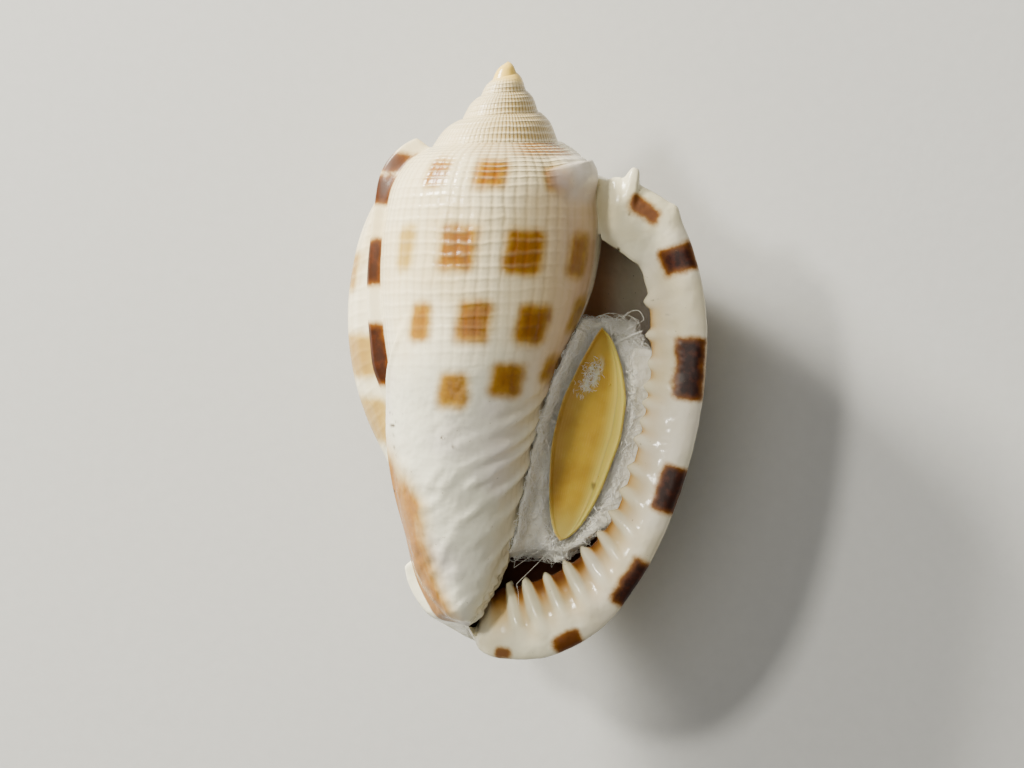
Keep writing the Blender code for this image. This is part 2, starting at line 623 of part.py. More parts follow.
def fuse(target, tool):
    step = target.modifiers.new("fuse_" + tool.name, "BOOLEAN")
    step.operation = "UNION"
    step.solver = "EXACT"
    step.object = tool
    tool.hide_render = True
    tool.display_type = "WIRE"


def lay_down(objects):
    """Turn everything to how it lies, with the origin under the middle of its box."""
    depsgraph = bpy.context.evaluated_depsgraph_get()
    turn = rest_turn()
    corners = []
    for made in objects:
        if not made.hide_render:
            shape = made.evaluated_get(depsgraph).to_mesh()
            corners.extend(turn @ v.co for v in shape.vertices)
    low = [min(c[axis] for c in corners) for axis in range(3)]
    high = [max(c[axis] for c in corners) for axis in range(3)]
    place = Vector(((low[0] + high[0]) / 2, (low[1] + high[1]) / 2, low[2]))
    for made in objects:
        made.data.transform(Matrix.Translation(-place) @ turn)
        made.data.update()


def main():
    for old in list(bpy.data.objects):
        bpy.data.objects.remove(old, do_unlink=True)
    parts = bpy.data.collections.new("helmet_shell")
    tools = bpy.data.collections.new("cutters")
    bpy.context.scene.collection.children.link(parts)
    bpy.context.scene.collection.children.link(tools)
    look = material("shell", (0.83, 0.75, 0.65), 0.35)
    points, faces = shell_body()
    shell = mesh_object("shell", to_part(points), faces, parts, look)
    points, faces = lip_folds()
    fuse(shell, mesh_object("lip_folds", to_part(points), faces, tools, look))
    points, faces = columella_ridges()
    fuse(shell, mesh_object("columella_ridges", to_part(points), faces, tools, look))
    bpy.context.view_layer.update()
    tree = BVHTree.FromObject(shell, bpy.context.evaluated_depsgraph_get())
    points, faces = wool_pad(tree)
    mesh_object("cotton_wool", to_part(points), faces, parts, material("cotton_wool", (0.80, 0.78, 0.75), 0.95))
    points, faces = operculum_plate()
    mesh_object("operculum", to_part(points), faces, parts, material("operculum", (0.60, 0.42, 0.10), 0.4))
    bpy.context.view_layer.update()
    lay_down(list(parts.objects) + list(tools.objects))


main()
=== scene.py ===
"""Looks of the helmet shell: the shell in full detail, the cotton wool in its mouth and the operculum on it.

The shell is grown by the same rule as the solid: a strip that coils round the axis from the apex to the
outer lip, turns over the thick rim and goes back inside as the lining.

Shell coordinates: x to the lip side, t down the axis from the apex, z to the mouth side, millimetres.
The growth angle starts at +x and turns through the mouth side. A station counts down the section of the
strip, from 0 at the suture to 14 at the tip of the columella.
"""
import math

import bpy
import numpy as np
from mathutils import Matrix, Vector, noise
from mathutils.bvhtree import BVHTree


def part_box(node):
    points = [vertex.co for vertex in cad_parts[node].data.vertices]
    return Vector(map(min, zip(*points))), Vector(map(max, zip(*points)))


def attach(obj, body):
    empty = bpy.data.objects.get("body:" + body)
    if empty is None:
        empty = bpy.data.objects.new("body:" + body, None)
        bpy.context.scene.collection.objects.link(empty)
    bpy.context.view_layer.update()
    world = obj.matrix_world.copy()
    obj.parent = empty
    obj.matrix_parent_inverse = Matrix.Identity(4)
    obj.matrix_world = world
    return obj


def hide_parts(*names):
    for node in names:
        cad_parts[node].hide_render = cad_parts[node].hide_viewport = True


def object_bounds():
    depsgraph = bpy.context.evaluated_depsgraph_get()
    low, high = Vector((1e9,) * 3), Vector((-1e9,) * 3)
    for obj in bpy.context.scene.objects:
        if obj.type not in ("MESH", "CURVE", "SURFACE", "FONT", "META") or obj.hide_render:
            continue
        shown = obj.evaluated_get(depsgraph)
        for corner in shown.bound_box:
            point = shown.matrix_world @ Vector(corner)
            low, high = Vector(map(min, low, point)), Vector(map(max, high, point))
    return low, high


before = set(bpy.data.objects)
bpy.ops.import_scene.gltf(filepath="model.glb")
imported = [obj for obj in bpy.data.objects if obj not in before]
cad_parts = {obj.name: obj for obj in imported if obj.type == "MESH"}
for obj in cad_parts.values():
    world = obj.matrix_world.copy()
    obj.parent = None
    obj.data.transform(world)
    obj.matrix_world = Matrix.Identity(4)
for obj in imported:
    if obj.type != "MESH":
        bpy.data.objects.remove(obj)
cad_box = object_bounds()

MM = 0.001
SEED = 7

# ---------------------------------------------------------------- driving dimensions (mm, degrees)
LIP_ANGLE = 380.0            # growth angle where the shell ends at the outer lip
WALL = 1.15                  # wall of the last whorl
TIP = (-0.55, 49.4, 1.4)     # front end of the columella, where all sections run together
VARIX_ANGLE = 181.6          # crest of the old lip
VARIX_HEIGHT = 1.35          # its height at the shoulder
VARIX_HEIGHT_LOW = 0.85      # and lower down, where the new whorl stands higher
SHIELD_STEP = 0.60           # free edge of the columellar shield over the new whorl
SHIELD_CREST = 0.20          # rounded crest along that edge
SHIELD_EDGE = [(5, 128), (5.6, 143), (6.2, 156), (7, 168), (8, 175), (9, 177), (10, 179),
               (11, 182), (12, 186),
               (14, 194)]    # that edge: station, growth angle
FASCIOLE_STEP = 0.45         # ridge left by the old canal notches
FASCIOLE_LOBE = 1.15         # its free lobe beside the lower end of the shield
CALLUS_RISE = 0.38           # tongue of callus beside the upper end of the lip
CALLUS_EAR = (0.14, 0.78)    # plate over that tongue, at its thin left end and beside the lip
CALLUS_LINE = [(20, 1.60), (25, 1.55), (36, 1.55), (45, 1.60), (52, 1.65), (58, 1.70), (62, 1.80), (65, 1.92)]
RIM_RISE = 1.25              # how far the rim of the lip rounds up between its two edges
SPINE_HEIGHT = 1.15          # small spine on the upper edge of the lip
SPINE_STATION = 2.12
KNOB_HEIGHT = 0.40           # blunt knob below the spine
KNOB_STATION = 3.0
TOOTH = (0.62, 0.45)         # half width and rise of a fold on the lip
LIRA = (0.60, 0.26)          # half width and rise of a ridge on the columella
PLATE = 0.45                 # thickness of the operculum
PLATE_GAP = 0.30             # its distance above the cotton wool
COTTON_TOP = 1.80            # front of the cotton wool above the axis
COTTON_ENDS = (22.4, 43.4)   # where its solid starts and ends down the axis
COTTON_MIDDLE = (10.9, 4.7)  # x of its middle at those ends
COTTON_FOOT = [(2.6, 43.0), (3.2, 42.9), (5.3, 42.6), (7.0, 42.9), (9.0, 41.9), (10.1, 40.9), (11.0, 40.2)]
COTTON_CLEAR = 0.04          # distance of its loose edge from the shell
COTTON_REACH = 2.4           # how far that edge spreads from its solid at most
COTTON_CLIMB = 1.5           # how far it climbs the walls beside it
COTTON_RISE = 0.75           # how far it stands up round the operculum
FIBRES = 9200
STUCK_FIBRES = 150
LEDGE = 0.12                 # how far an old whorl swells out just below the suture
CORD_PITCH = (0.52, 1.05)    # spacing of the spiral cords at the suture and lower down
THREAD_PITCH = (0.34, 0.90)  # spacing of the growth threads on the spire and on the last whorl

# folds across the inner half of the lip: station, then where each starts and ends over the rim
TEETH = [
    (3.92, 0.64, 0.88), (4.62, 0.64, 0.9), (5.19, 0.62, 0.9), (5.61, 0.62, 0.9),
    (5.91, 0.62, 0.9), (6.23, 0.6, 0.9), (6.54, 0.58, 0.9), (7.01, 0.56, 0.9),
    (7.43, 0.54, 0.9), (7.86, 0.52, 0.9), (8.28, 0.49, 0.9), (8.66, 0.47, 0.9),
    (9.08, 0.45, 0.9), (9.54, 0.44, 0.9), (10.02, 0.43, 0.9), (10.52, 0.44, 0.88),
]
# oblique ridges of the columella: growth angle and station of their upper and lower ends, strength
LIRAE = [
    (38, 6.9, 84, 7.5, 0.4), (38, 7.2, 100, 8.1, 0.85), (38, 7.72, 108, 8.72, 0.95),
    (38, 8.03, 106, 9.12, 1.0), (36, 8.58, 100, 9.62, 1.05), (34, 9.1, 92, 10.15, 0.7),
    (32, 9.62, 84, 10.85, 0.95), (30, 10.2, 70, 11.3, 0.45),
]

# operculum: line from its upper to its lower tip, and how far its two edges stand off it
PLATE_ENDS = ((9.5, 22.7), (6.95, 41.5))
PLATE_LEFT = [(0.0, 0.0), (0.05, 0.42), (0.23, 1.5), (0.39, 2.2), (0.54, 2.35), (0.72, 1.98),
              (0.86, 1.45), (0.96, 0.72), (1.0, 0.0)]
PLATE_RIGHT = [(0.0, 0.0), (0.04, 0.95), (0.1, 1.75), (0.19, 2.6), (0.33, 3.35), (0.47, 3.48),
               (0.61, 3.12), (0.755, 2.6), (0.89, 1.75), (0.97, 0.8), (1.0, 0.0)]

# suture: growth angle, radius, distance down the axis; past the lip it is the line on the last
# whorl where a next whorl would join
SUTURE = [
    (-1420, 0.16, 0.1), (-1250, 0.42, 0.36), (-1080, 0.8, 0.92), (-900, 1.26, 1.76),
    (-720, 1.7, 2.43), (-540, 2.2, 3.22), (-360, 2.87, 4.22), (-180, 3.7, 5.39),
    (0, 4.74, 6.7), (180, 6.17, 7.91), (380, 8.02, 9.42), (420, 8.45, 9.85),
    (460, 8.8, 10.25), (500, 9.0, 10.5), (535, 9.2, 10.75), (544, 9.3, 10.7),
    (565, 9.9, 10.8), (600, 10.2, 10.9), (640, 10.6, 11.0), (680, 11.0, 11.0),
    (710, 11.2, 10.9), (740, 11.3, 10.8),
]

# cross-sections below that line: growth angle, then (radius, distance down the axis) of nine
# stations from the upper flank to the ridge above the canal
SECTIONS = [
    (-340, [(5.3, 8.2), (5.4, 10.2), (4.9, 13.0), (4.0, 16.5), (3.1, 21.0), (2.6, 26.0),
            (2.3, 32.0), (2.0, 38.0), (1.7, 43.0)]),
    (-160, [(7.0, 9.6), (7.2, 12.0), (6.6, 15.2), (5.4, 19.0), (4.1, 23.5), (3.3, 28.5),
            (2.9, 34.0), (2.5, 39.5), (2.0, 44.0)]),
    (20, [(8.85, 11.6), (9.25, 14.8), (8.8, 19.4), (7.5, 23.5), (5.9, 27.3), (4.7, 31.3),
            (3.95, 35.5), (3.3, 40.0), (2.5, 44.0)]),
    (60, [(9.2, 12.0), (9.55, 15.2), (9.35, 19.6), (8.6, 24.0), (7.5, 28.2), (6.5, 32.3),
            (5.7, 36.3), (4.9, 40.5), (3.8, 44.3)]),
    (100, [(9.5, 12.3), (9.8, 15.8), (9.65, 20.2), (9.1, 24.6), (8.35, 28.8), (7.6, 32.8),
            (6.85, 36.8), (5.9, 41.0), (4.6, 44.8)]),
    (140, [(9.7, 12.7), (10.0, 16.1), (9.9, 20.6), (9.4, 25.0), (8.6, 29.2), (8.0, 33.2),
            (7.25, 37.2), (6.15, 41.3), (4.75, 45.0)]),
    (175, [(9.8, 12.9), (10.08, 16.2), (9.95, 20.8), (9.3, 25.2), (8.4, 29.4), (8.0, 33.4),
            (7.2, 37.3), (6.1, 41.3), (4.8, 45.0)]),
    (184, [(9.9, 12.9), (10.35, 16.3), (10.45, 21.0), (9.9, 25.6), (9.0, 29.8), (7.9, 33.9),
            (6.8, 38.0), (5.8, 42.2), (5.0, 45.2)]),
    (192, [(11.0, 13.0), (12.0, 16.7), (12.3, 21.5), (11.8, 26.4), (10.3, 30.8), (8.5, 34.9),
            (6.9, 38.9), (5.8, 42.6), (5.25, 45.2)]),
    (205, [(12.0, 13.2), (13.45, 17.0), (13.95, 22.0), (13.3, 27.3), (11.6, 31.8), (9.2, 35.8),
            (7.1, 39.8), (5.9, 43.1), (5.5, 45.4)]),
    (240, [(12.5, 13.4), (13.9, 17.4), (14.2, 22.6), (13.5, 27.8), (11.9, 32.3), (9.6, 36.4),
            (7.4, 40.4), (6.2, 43.6), (6.0, 46.0)]),
    (280, [(13.0, 13.6), (14.4, 17.8), (14.6, 23.0), (13.9, 28.3), (12.3, 33.0), (10.1, 37.2),
            (7.9, 41.2), (6.6, 44.2), (6.3, 46.7)]),
    (320, [(13.9, 13.8), (15.5, 18.2), (15.9, 23.6), (15.2, 29.0), (13.6, 34.0), (11.4, 38.5),
            (9.0, 42.6), (7.0, 45.9), (5.7, 48.4)]),
    (350, [(14.6, 13.6), (16.6, 18.4), (17.1, 24.2), (16.5, 30.2), (15.0, 35.7), (12.8, 40.6),
            (10.2, 44.9), (7.0, 48.1), (4.2, 50.0)]),
    (380, [(14.7, 13.2), (16.6, 18.6), (17.3, 24.6), (16.9, 30.6), (15.7, 36.4), (13.5, 42.0),
            (10.4, 46.7), (6.3, 49.6), (2.7, 50.6)]),
]

# the two stations at the canal, where the sections leave the axis: growth angle, x, t, z
CANAL_RING = [
    (-340, 0.2, 46.6, 1.1), (-250, -0.6, 46.7, 1.8), (-160, -1.4, 46.9, 0.6),
    (-70, -0.5, 47.0, -0.3), (20, 0.95, 47.3, 1.6), (60, 0.4, 47.6, 3.1),
    (100, -0.9, 47.9, 3.7), (140, -2.2, 47.8, 3.0), (175, -3.0, 47.6, 1.6),
    (184, -3.45, 47.8, 0.6), (192, -3.9, 48.0, -0.2), (205, -4.0, 48.1, -1.1),
    (240, -2.9, 48.7, -3.3), (280, -0.6, 49.6, -4.4), (320, 0.9, 50.4, -3.9),
    (350, 1.1, 50.8, -2.9), (380, 0.8, 50.8, -1.9),
]
TIP_RING = [
    (-340, 0.15, 48.1, 1.2), (-250, -0.25, 48.2, 1.65), (-160, -0.7, 48.25, 1.0),
    (-70, -0.15, 48.3, 0.65), (20, 0.5, 48.4, 1.65), (60, 0.05, 48.6, 2.15),
    (100, -0.5, 48.75, 2.3), (140, -1.15, 48.75, 2.0), (175, -1.65, 48.75, 1.5),
    (184, -2.0, 48.85, 0.9), (192, -2.3, 48.95, 0.4), (205, -2.4, 49.05, -0.4),
    (240, -2.0, 49.4, -2.2), (280, -1.4, 49.9, -3.0), (320, -0.8, 50.2, -3.3),
    (350, -0.5, 50.3, -3.2), (380, -0.4, 50.2, -2.8),
]

# outer lip, station by station from the suture to the tip: where the whorl ends behind the rim,
# the outer edge of the rim, and its inner edge (x, t, z)
LIP_BACK = [
    (7.53, 9.42, 2.74), (9.3, 10.0, 2.1), (11.0, 10.7, 2.1), (14.4, 13.1, 2.3),
    (16.4, 18.6, 2.3), (17.1, 24.6, 2.3), (16.7, 30.6, 2.4), (15.5, 36.4, 2.5),
    (13.3, 42.0, 2.5), (10.2, 46.7, 2.2), (6.2, 49.7, 1.3), (2.9, 50.7, -0.3),
    (0.8, 50.8, -1.9), (-0.4, 50.2, -2.8), TIP,
]
LIP_OUTER = [
    (7.8, 10.0, 2.75), (9.05, 10.05, 3.35), (10.8, 9.85, 4.1), (15.2, 12.3, 5.0),
    (17.9, 18.4, 5.2), (18.7, 24.8, 5.2), (18.25, 31.0, 5.4), (16.95, 37.1, 5.6),
    (14.65, 43.2, 5.6), (11.2, 48.5, 5.0), (6.7, 51.45, 3.9), (2.4, 51.95, 2.2),
    (0.6, 51.4, 0.6), (0.05, 50.55, -0.9), TIP,
]
LIP_INNER = [
    (8.69, 14.8, 3.16), (9.45, 15.4, 3.25), (10.75, 16.05, 3.15), (12.65, 17.6, 2.9),
    (13.5, 20.6, 3.0), (13.95, 24.8, 3.3), (13.75, 29.5, 3.6), (12.85, 34.7, 3.7),
    (11.25, 39.5, 3.55), (8.0, 43.4, 2.85), (4.35, 45.35, 1.85), (1.8, 46.05, 0.0),
    (0.6, 48.0, -0.55), (0.1, 49.4, -1.2), TIP,
]
REST_ROLL = 17.7             # how the shell lies: lip side down,
REST_PITCH = 2.75            # and this much nose down towards the canal
STATIONS = 14                # number of the last station, at the tip
STATION_LENGTH = 3.35        # distance between two stations on the columella


# ---------------------------------------------------------------- curves
def smooth(low, high, value):
    """Smooth step from 0 at low to 1 at high."""
    u = np.clip((np.asarray(value, float) - low) / (high - low), 0.0, 1.0)
    return u * u * (3.0 - 2.0 * u)


def fade(low, high, value):
    """Smooth step from 1 at low to 0 at high."""
    return 1 - smooth(low, high, value)


def window(rise, fall, value):
    """Smooth step up over the first two values and down again over the last two."""
    return smooth(*rise, value) * fade(*fall, value)


def hermite(knots, values, slopes, at):
    """Cubic curve through values at the knots with the given slopes."""
    i = np.clip(np.searchsorted(knots, at, side="right") - 1, 0, len(knots) - 2)
    shape = i.shape + (1,) * (values.ndim - 1)
    h = (knots[i + 1] - knots[i]).reshape(shape)
    u = (at - knots[i]).reshape(shape) / h
    a = (1 + 2 * u) * (1 - u) ** 2 * values[i] + u * u * (3 - 2 * u) * values[i + 1]
    return a + h * (u * (1 - u) ** 2 * slopes[i] - u * u * (1 - u) * slopes[i + 1])


def along(stations, at):
    """Rounded curve through the stations 0, 1, 2, ... of an array."""
    return hermite(np.arange(len(stations)), stations, np.gradient(stations, axis=0), np.asarray(at, float))


def curves(table, at):
    """Curves through the columns of a table against its first column, which don't overshoot."""
    knots, *columns = np.array(table, float).T
    found = []
    for values in columns:
        step = np.diff(values) / np.diff(knots)
        product = step[:-1] * step[1:]
        total = np.where(product > 0, step[:-1] + step[1:], 1.0)
        inner = np.where(product > 0, 2.0 * product / total, 0.0)
        slopes = np.concatenate([step[:1], inner, step[-1:]])
        found.append(hermite(knots, values, slopes, np.asarray(at, float)))
    return np.array(found)


def straight(table, at):
    """Straight lines through the pairs of a table."""
    return np.interp(at, *zip(*table))


def unit(vectors):
    return vectors / np.maximum(np.linalg.norm(vectors, axis=-1, keepdims=True), 1e-12)


def radius_of(points):
    return np.hypot(points[..., 0], points[..., 2])


# ---------------------------------------------------------------- the coiled surface
def section_stations(theta):
    """The stations of the section at each growth angle, as points (station, angle, xyz)."""
    flat = np.zeros((12, 2, len(theta)))
    flat[0] = curves(SUTURE, theta)
    flat[2] = curves(SUTURE, theta + 360.0)
    flat[1] = flat[0] + np.array([[0.60], [0.40]]) * (flat[2] - flat[0])
    held = np.maximum(theta, SECTIONS[0][0])
    edge = curves(SUTURE, held + 360.0)
    below = curves([[angle, *np.ravel(places)] for angle, places in SECTIONS], held)
    flat[3:] = flat[2] + flat[2, 0] / edge[0] * (below.reshape(9, 2, -1) - edge)
    turn = np.radians(theta)
    points = np.zeros((STATIONS + 1, len(theta), 3))
    points[:12] = np.stack([flat[:, 0] * np.cos(turn), flat[:, 1], flat[:, 0] * np.sin(turn)], -1)
    points[12] = curves(CANAL_RING, held).T
    points[13] = curves(TIP_RING, held).T
    points[STATIONS] = TIP
    return points


def shield_edge(k):
    """Growth angle of the free edge of the columellar shield."""
    return curves(SHIELD_EDGE, k)[0]


def relief(theta, k):
    """Raised features of the outer surface, along its normal."""
    height = VARIX_HEIGHT + (VARIX_HEIGHT_LOW - VARIX_HEIGHT) * smooth(1.5, 4.0, k)
    ridge = smooth(175.5, 180.4, theta) - smooth(VARIX_ANGLE + 0.6, 187.5, theta)
    edge = shield_edge(k)
    plate = window((60, 120), (edge - 1.5, edge + 2.5), theta) * window((5.2, 6.8), (12.2, 13.6), k)
    crest = np.exp(-((theta - edge + 4.0) / 2.2) ** 2) * window((5.4, 6.2), (8.6, 10.2), k)
    band = window((edge + 2.0, edge + 8.0), (330, 365), theta) * smooth(10.35, 10.70, k)
    lobe = (FASCIOLE_LOBE - FASCIOLE_STEP) * fade(210, 260, theta) * fade(11.0, 12.3, k)
    tongue = window((8, 19), (46, 62), theta) * window((1.0, 1.5), (2.4, 3.2), k)
    ear = CALLUS_EAR[0] + (CALLUS_EAR[1] - CALLUS_EAR[0]) * fade(26, 54, theta)
    ear = ear * smooth(0.0, 0.16, k - straight(CALLUS_LINE, theta)) * fade(2.0, 3.2, k)
    ledge = (0.30 + 0.70 * smooth(-900, -200, theta)) * fade(-10, 40, theta)
    return (
        height * ridge * window((0.0, 0.45), (6.3, 7.4), k) + SHIELD_STEP * plate + SHIELD_CREST * crest
        + (FASCIOLE_STEP * fade(12.0, 13.4, k) + lobe) * band + CALLUS_RISE * tongue
        + ear * window((20.5, 26), (56, 66), theta) + LEDGE * ledge * window((0.0, 0.22), (0.30, 1.6), k))


def lip_line(points, k):
    return along(np.array(points, float), k)


def outer_points(theta, k):
    """Points (station, angle, xyz) of the outer surface."""
    stations = section_stations(theta)
    end = section_stations(np.array([LIP_ANGLE]))
    stations = stations + smooth(318, LIP_ANGLE, theta)[None, :, None] * (np.array(LIP_BACK)[:, None] - end)
    points = along(stations, k)
    step = along(stations, np.minimum(k + 0.05, STATIONS)) - along(stations, np.maximum(k - 0.05, 0.0))
    out = points * (1, 0, 1) / np.maximum(radius_of(points), 1e-6)[..., None]
    outwards = (step * out).sum(-1, keepdims=True)
    down = step[..., 1:2]
    rise = relief(theta[None, :], k[:, None])[..., None] / np.maximum(np.hypot(outwards, down), 1e-6)
    return points + rise * (down * out - outwards * (0, 1, 0))


# ---------------------------------------------------------------- fine mesh of the shell
SEAM = 20                    # rows from a suture to the next one
PER_STATION = 15             # rows for each station below it
FIRST = SEAM + 2 * PER_STATION    # row where the lip and the lining meet the inner wall
SPLIT = 2                    # the rim has this many rows for each row of the whorl
RIM_STEPS = FIRST - SEAM     # columns over the rim, which ends on the inner wall
CAVITY_TOP = 2.24            # station where the lining starts to follow the outer surface
# growth angles with the step between two columns
OLD_SPANS = [(-1420, -1060, 6.0), (-1060, -700, 4.0), (-700, -340, 2.8), (-340, 20, 1.9)]
LAST_SPANS = [(20, 172, 1.35), (172, 190, 0.6), (190, 340, 1.6), (340, 380, 1.25)]
HIDDEN_SPANS = [(-340, -20, 10.0), (-20, 20, 2.0)]
OFF = -2.0                   # inside distance far from any mark
APEX_TURN = 60               # columns of the first whorl that close over the apex


def spaced(spans):
    """Angles at even steps over each span."""
    pieces = [np.linspace(a, b, round((b - a) / step) + 1) for a, b, step in spans]
    return np.unique(np.round(np.concatenate(pieces), 6))


def rim_points(rows, back, inside, places):
    """Cross-sections of the lip from the whorl (0) over the rim to the lining (1)."""
    crest = lip_line(LIP_OUTER, rows)
    inner = lip_line(LIP_INNER, rows)
    spine = SPINE_HEIGHT * np.exp(-((rows - SPINE_STATION) / 0.15) ** 4)[:, None] * (0.35, -1.0, 0.2)
    knob = KNOB_HEIGHT * np.exp(-((rows - KNOB_STATION) / 0.13) ** 2)[:, None] * (0.5, -0.8, 0.0)
    front = 0.55 * crest + 0.45 * inner + 0.12 * spine
    front[:, 2] += RIM_RISE * window((0.0, 2.0), (12.0, STATIONS), rows)
    keys = np.stack([back, crest + spine + knob, front, inner, inside])
    return along(keys, np.interp(places, [0, 0.28, 0.52, 0.80, 1.0], range(5)))


def lip_folds(rows, places):
    """Folds over the rim: their height, how far each point lies in a groove, and the grooves' inner ends."""
    height = np.zeros((len(rows), len(places)))
    pitch = np.linalg.norm(np.gradient(lip_line(LIP_INNER, rows), rows, axis=0), axis=1)[:, None]
    for n, (k, start, end) in enumerate(TEETH):
        low = float(smooth(6.2, 8.6, k))
        away = np.abs(rows[:, None] - k) * pitch
        swell = np.clip((places - start + 0.02 + 0.04 * low) / (end - start + 0.12), 0, 1)
        swell = np.sin(math.pi * swell ** (2.0 - 0.3 * low)) ** 0.8 * (1.0 + 0.22 * math.sin(2.3 * n))
        wide = TOOTH[0] * (1.75 - 0.35 * low) * (1.0 + 0.10 * math.sin(4.1 * n + 1.0))
        wide = wide * (1.0 - 0.38 * smooth(0.55, 0.90, places))
        bump = 0.5 + 0.5 * np.cos(math.pi * np.clip(away / wide, 0, 1))
        height = np.maximum(height, 1.30 * TOOTH[1] * swell * bump)
    low, high = TEETH[0][0] - 0.2, TEETH[-1][0] + 0.5
    valley = window((low, low + 0.5), (high, high + 0.6), rows)[:, None]
    valley = valley * (1 - np.clip(1.9 * height / TOOTH[1], 0, 1))
    start = straight([(k, start) for k, start, _ in TEETH], rows)[:, None]
    down = smooth(7.0, 9.4, rows)[:, None]
    groove = valley * smooth(start - 0.06, start + 0.20, places)
    notch = valley * smooth(0.68 - 0.14 * down, 0.84 - 0.04 * down, places) * (0.50 + 0.50 * down)
    return height, groove, notch


def columella_folds(theta, k):
    """Height of the oblique ridges of the columella."""
    height = np.zeros(np.broadcast(theta, k).shape)
    for high, k_high, low, k_low, strength in LIRAE:
        path = k_high + (k_low - k_high) * (theta - high) / (low - high)
        swell = window((high - 60, high - 8), (low - 34, low + 14), theta)
        ridge = np.clip(1 - ((k - path) * STATION_LENGTH / LIRA[0]) ** 2, 0, 1) ** 1.6
        height = np.maximum(height, LIRA[1] * strength * swell * ridge)
    return height


def columella_knobs(points, theta, k):
    """Low knobs of the lower columella, drawn out along its ridges, and its granular inner edge."""
    slant = math.radians(40.0)
    longways = points[..., 0] * math.cos(slant) - points[..., 1] * math.sin(slant)
    across = points[..., 0] * math.sin(slant) + points[..., 1] * math.cos(slant)
    slanted = np.stack([0.50 * longways, 1.05 * across, 0.5 * points[..., 2]], -1)
    knobs = np.clip(wobble(slanted, 1.0, 3.1) * 2.2 - 0.1, -0.25, 1.0)
    edge = shield_edge(k)
    lower = window((58, 84), (edge - 16, edge - 3), theta) * window((7.4, 9.2), (12.0, 13.2), k)
    grains = window((6, 26), (58, 78), theta) * window((9.6, 10.8), (13.0, 13.8), k)
    return 0.10 * lower * knobs + 0.20 * grains * np.clip(wobble(points, 1.75, 8.0) * 2.0, -0.6, 1.0)


def wobble(points, scale, seed):
    """Smooth uneven values from -1 to 1 at each point."""
    flat = points.reshape(-1, 3) * scale + seed
    return np.array([noise.noise(Vector(p)) for p in flat]).reshape(points.shape[:-1])


class Skin:
    """Vertices with named values, gathered patch by patch."""

    def __init__(self):
        self.patches = []
        self.count = 0

    def add(self, points, **values):
        ids = self.count + np.arange(points[..., 0].size).reshape(points.shape[:-1])
        values = {"spot": OFF, "block": OFF, **values}
        flat = {name: np.broadcast_to(value, ids.shape).reshape(-1) for name, value in values.items()}
        self.patches.append((points.reshape(-1, 3), flat))
        self.count += ids.size
        return ids

    def arrays(self):
        values = {}
        for name in sorted({name for _, flat in self.patches for name in flat}):
            values[name] = np.concatenate(
                [flat.get(name, np.zeros(len(part))) for part, flat in self.patches])
        return np.concatenate([part for part, _ in self.patches]), values


def cleaned(corners):
    """A face without repeated corners, or None if nothing is left."""
    kept = tuple(dict.fromkeys(int(corner) for corner in corners))
    return kept if len(kept) > 2 else None


def sheet(ids):
    """Faces between the rows and columns of a grid, as lists of vertices."""
    quads = np.stack([ids[:-1, :-1], ids[1:, :-1], ids[1:, 1:], ids[:-1, 1:]], -1).reshape(-1, 4)
    return [cleaned(quad) for quad in quads.tolist()]


def normals_of(grid):
    """Normals of a grid of points, towards the side where rows run down and columns to the right."""
    return unit(np.cross(np.gradient(grid, axis=0), np.gradient(grid, axis=1)))


# ---------------------------------------------------------------- colour pattern
# square spots of the last whorl: growth angle, distance down the axis, width, height, strength
SPOTS = [
    (56, 10.3, 3.0, 2.6, 0.85), (96, 10.2, 3.4, 3.0, 0.9), (129, 10.3, 2.6, 3.0, 0.8),
    (41, 16.7, 2.9, 4.3, 0.75), (76, 16.8, 4.1, 4.4, 1.0), (110, 16.7, 3.8, 4.5, 0.9),
    (142, 16.9, 2.5, 4.3, 0.5),
    (29, 21.8, 3.0, 3.4, 0.6), (67, 22.9, 3.7, 4.0, 0.9), (100, 23.0, 3.5, 4.2, 0.95),
    (130, 23.2, 2.7, 3.8, 0.7),
    (42, 26.6, 3.6, 2.6, 0.7), (79, 27.8, 3.6, 3.3, 0.75), (110, 29.0, 3.1, 3.5, 0.7),
]
# rows of spots on the back: station at the old lip and at the new one, shift in angle, size, strength
BACK_ROWS = [
    (2.55, 2.75, 0.0, 3.4, 3.0, 0.7), (4.45, 3.85, -3.0, 4.6, 4.3, 0.95), (5.9, 5.3, -8.0, 4.6, 4.4, 0.95),
    (7.15, 6.95, -3.0, 4.3, 4.0, 0.9), (8.5, 8.4, 1.0, 3.8, 3.4, 0.8), (9.8, 9.7, -2.0, 3.0, 2.6, 0.65),
]
BACK_ANGLES = [203, 237, 271, 305, 339]
# blocks on the lip: x, t, half length along the lip, half width across it, strength
LIP_BLOCKS = [
    (12.55, 12.35, 1.6, 0.78, 0.6), (15.75, 16.5, 1.25, 1.65, 0.95), (17.25, 25.85, 2.75, 1.4, 1.0),
    (16.2, 36.4, 2.15, 1.35, 0.85), (13.35, 44.7, 2.25, 1.1, 0.85), (8.2, 50.2, 1.35, 0.95, 0.6),
    (2.6, 51.5, 0.7, 0.5, 0.5),
]
# blocks on the old lip: distances down the axis where each starts and ends, strength
OLD_LIP_BLOCKS = [(8.5, 10.2, 0.66), (10.5, 13.1, 0.72), (16.1, 20.3, 0.74), (23.5, 29.0, 0.78)]
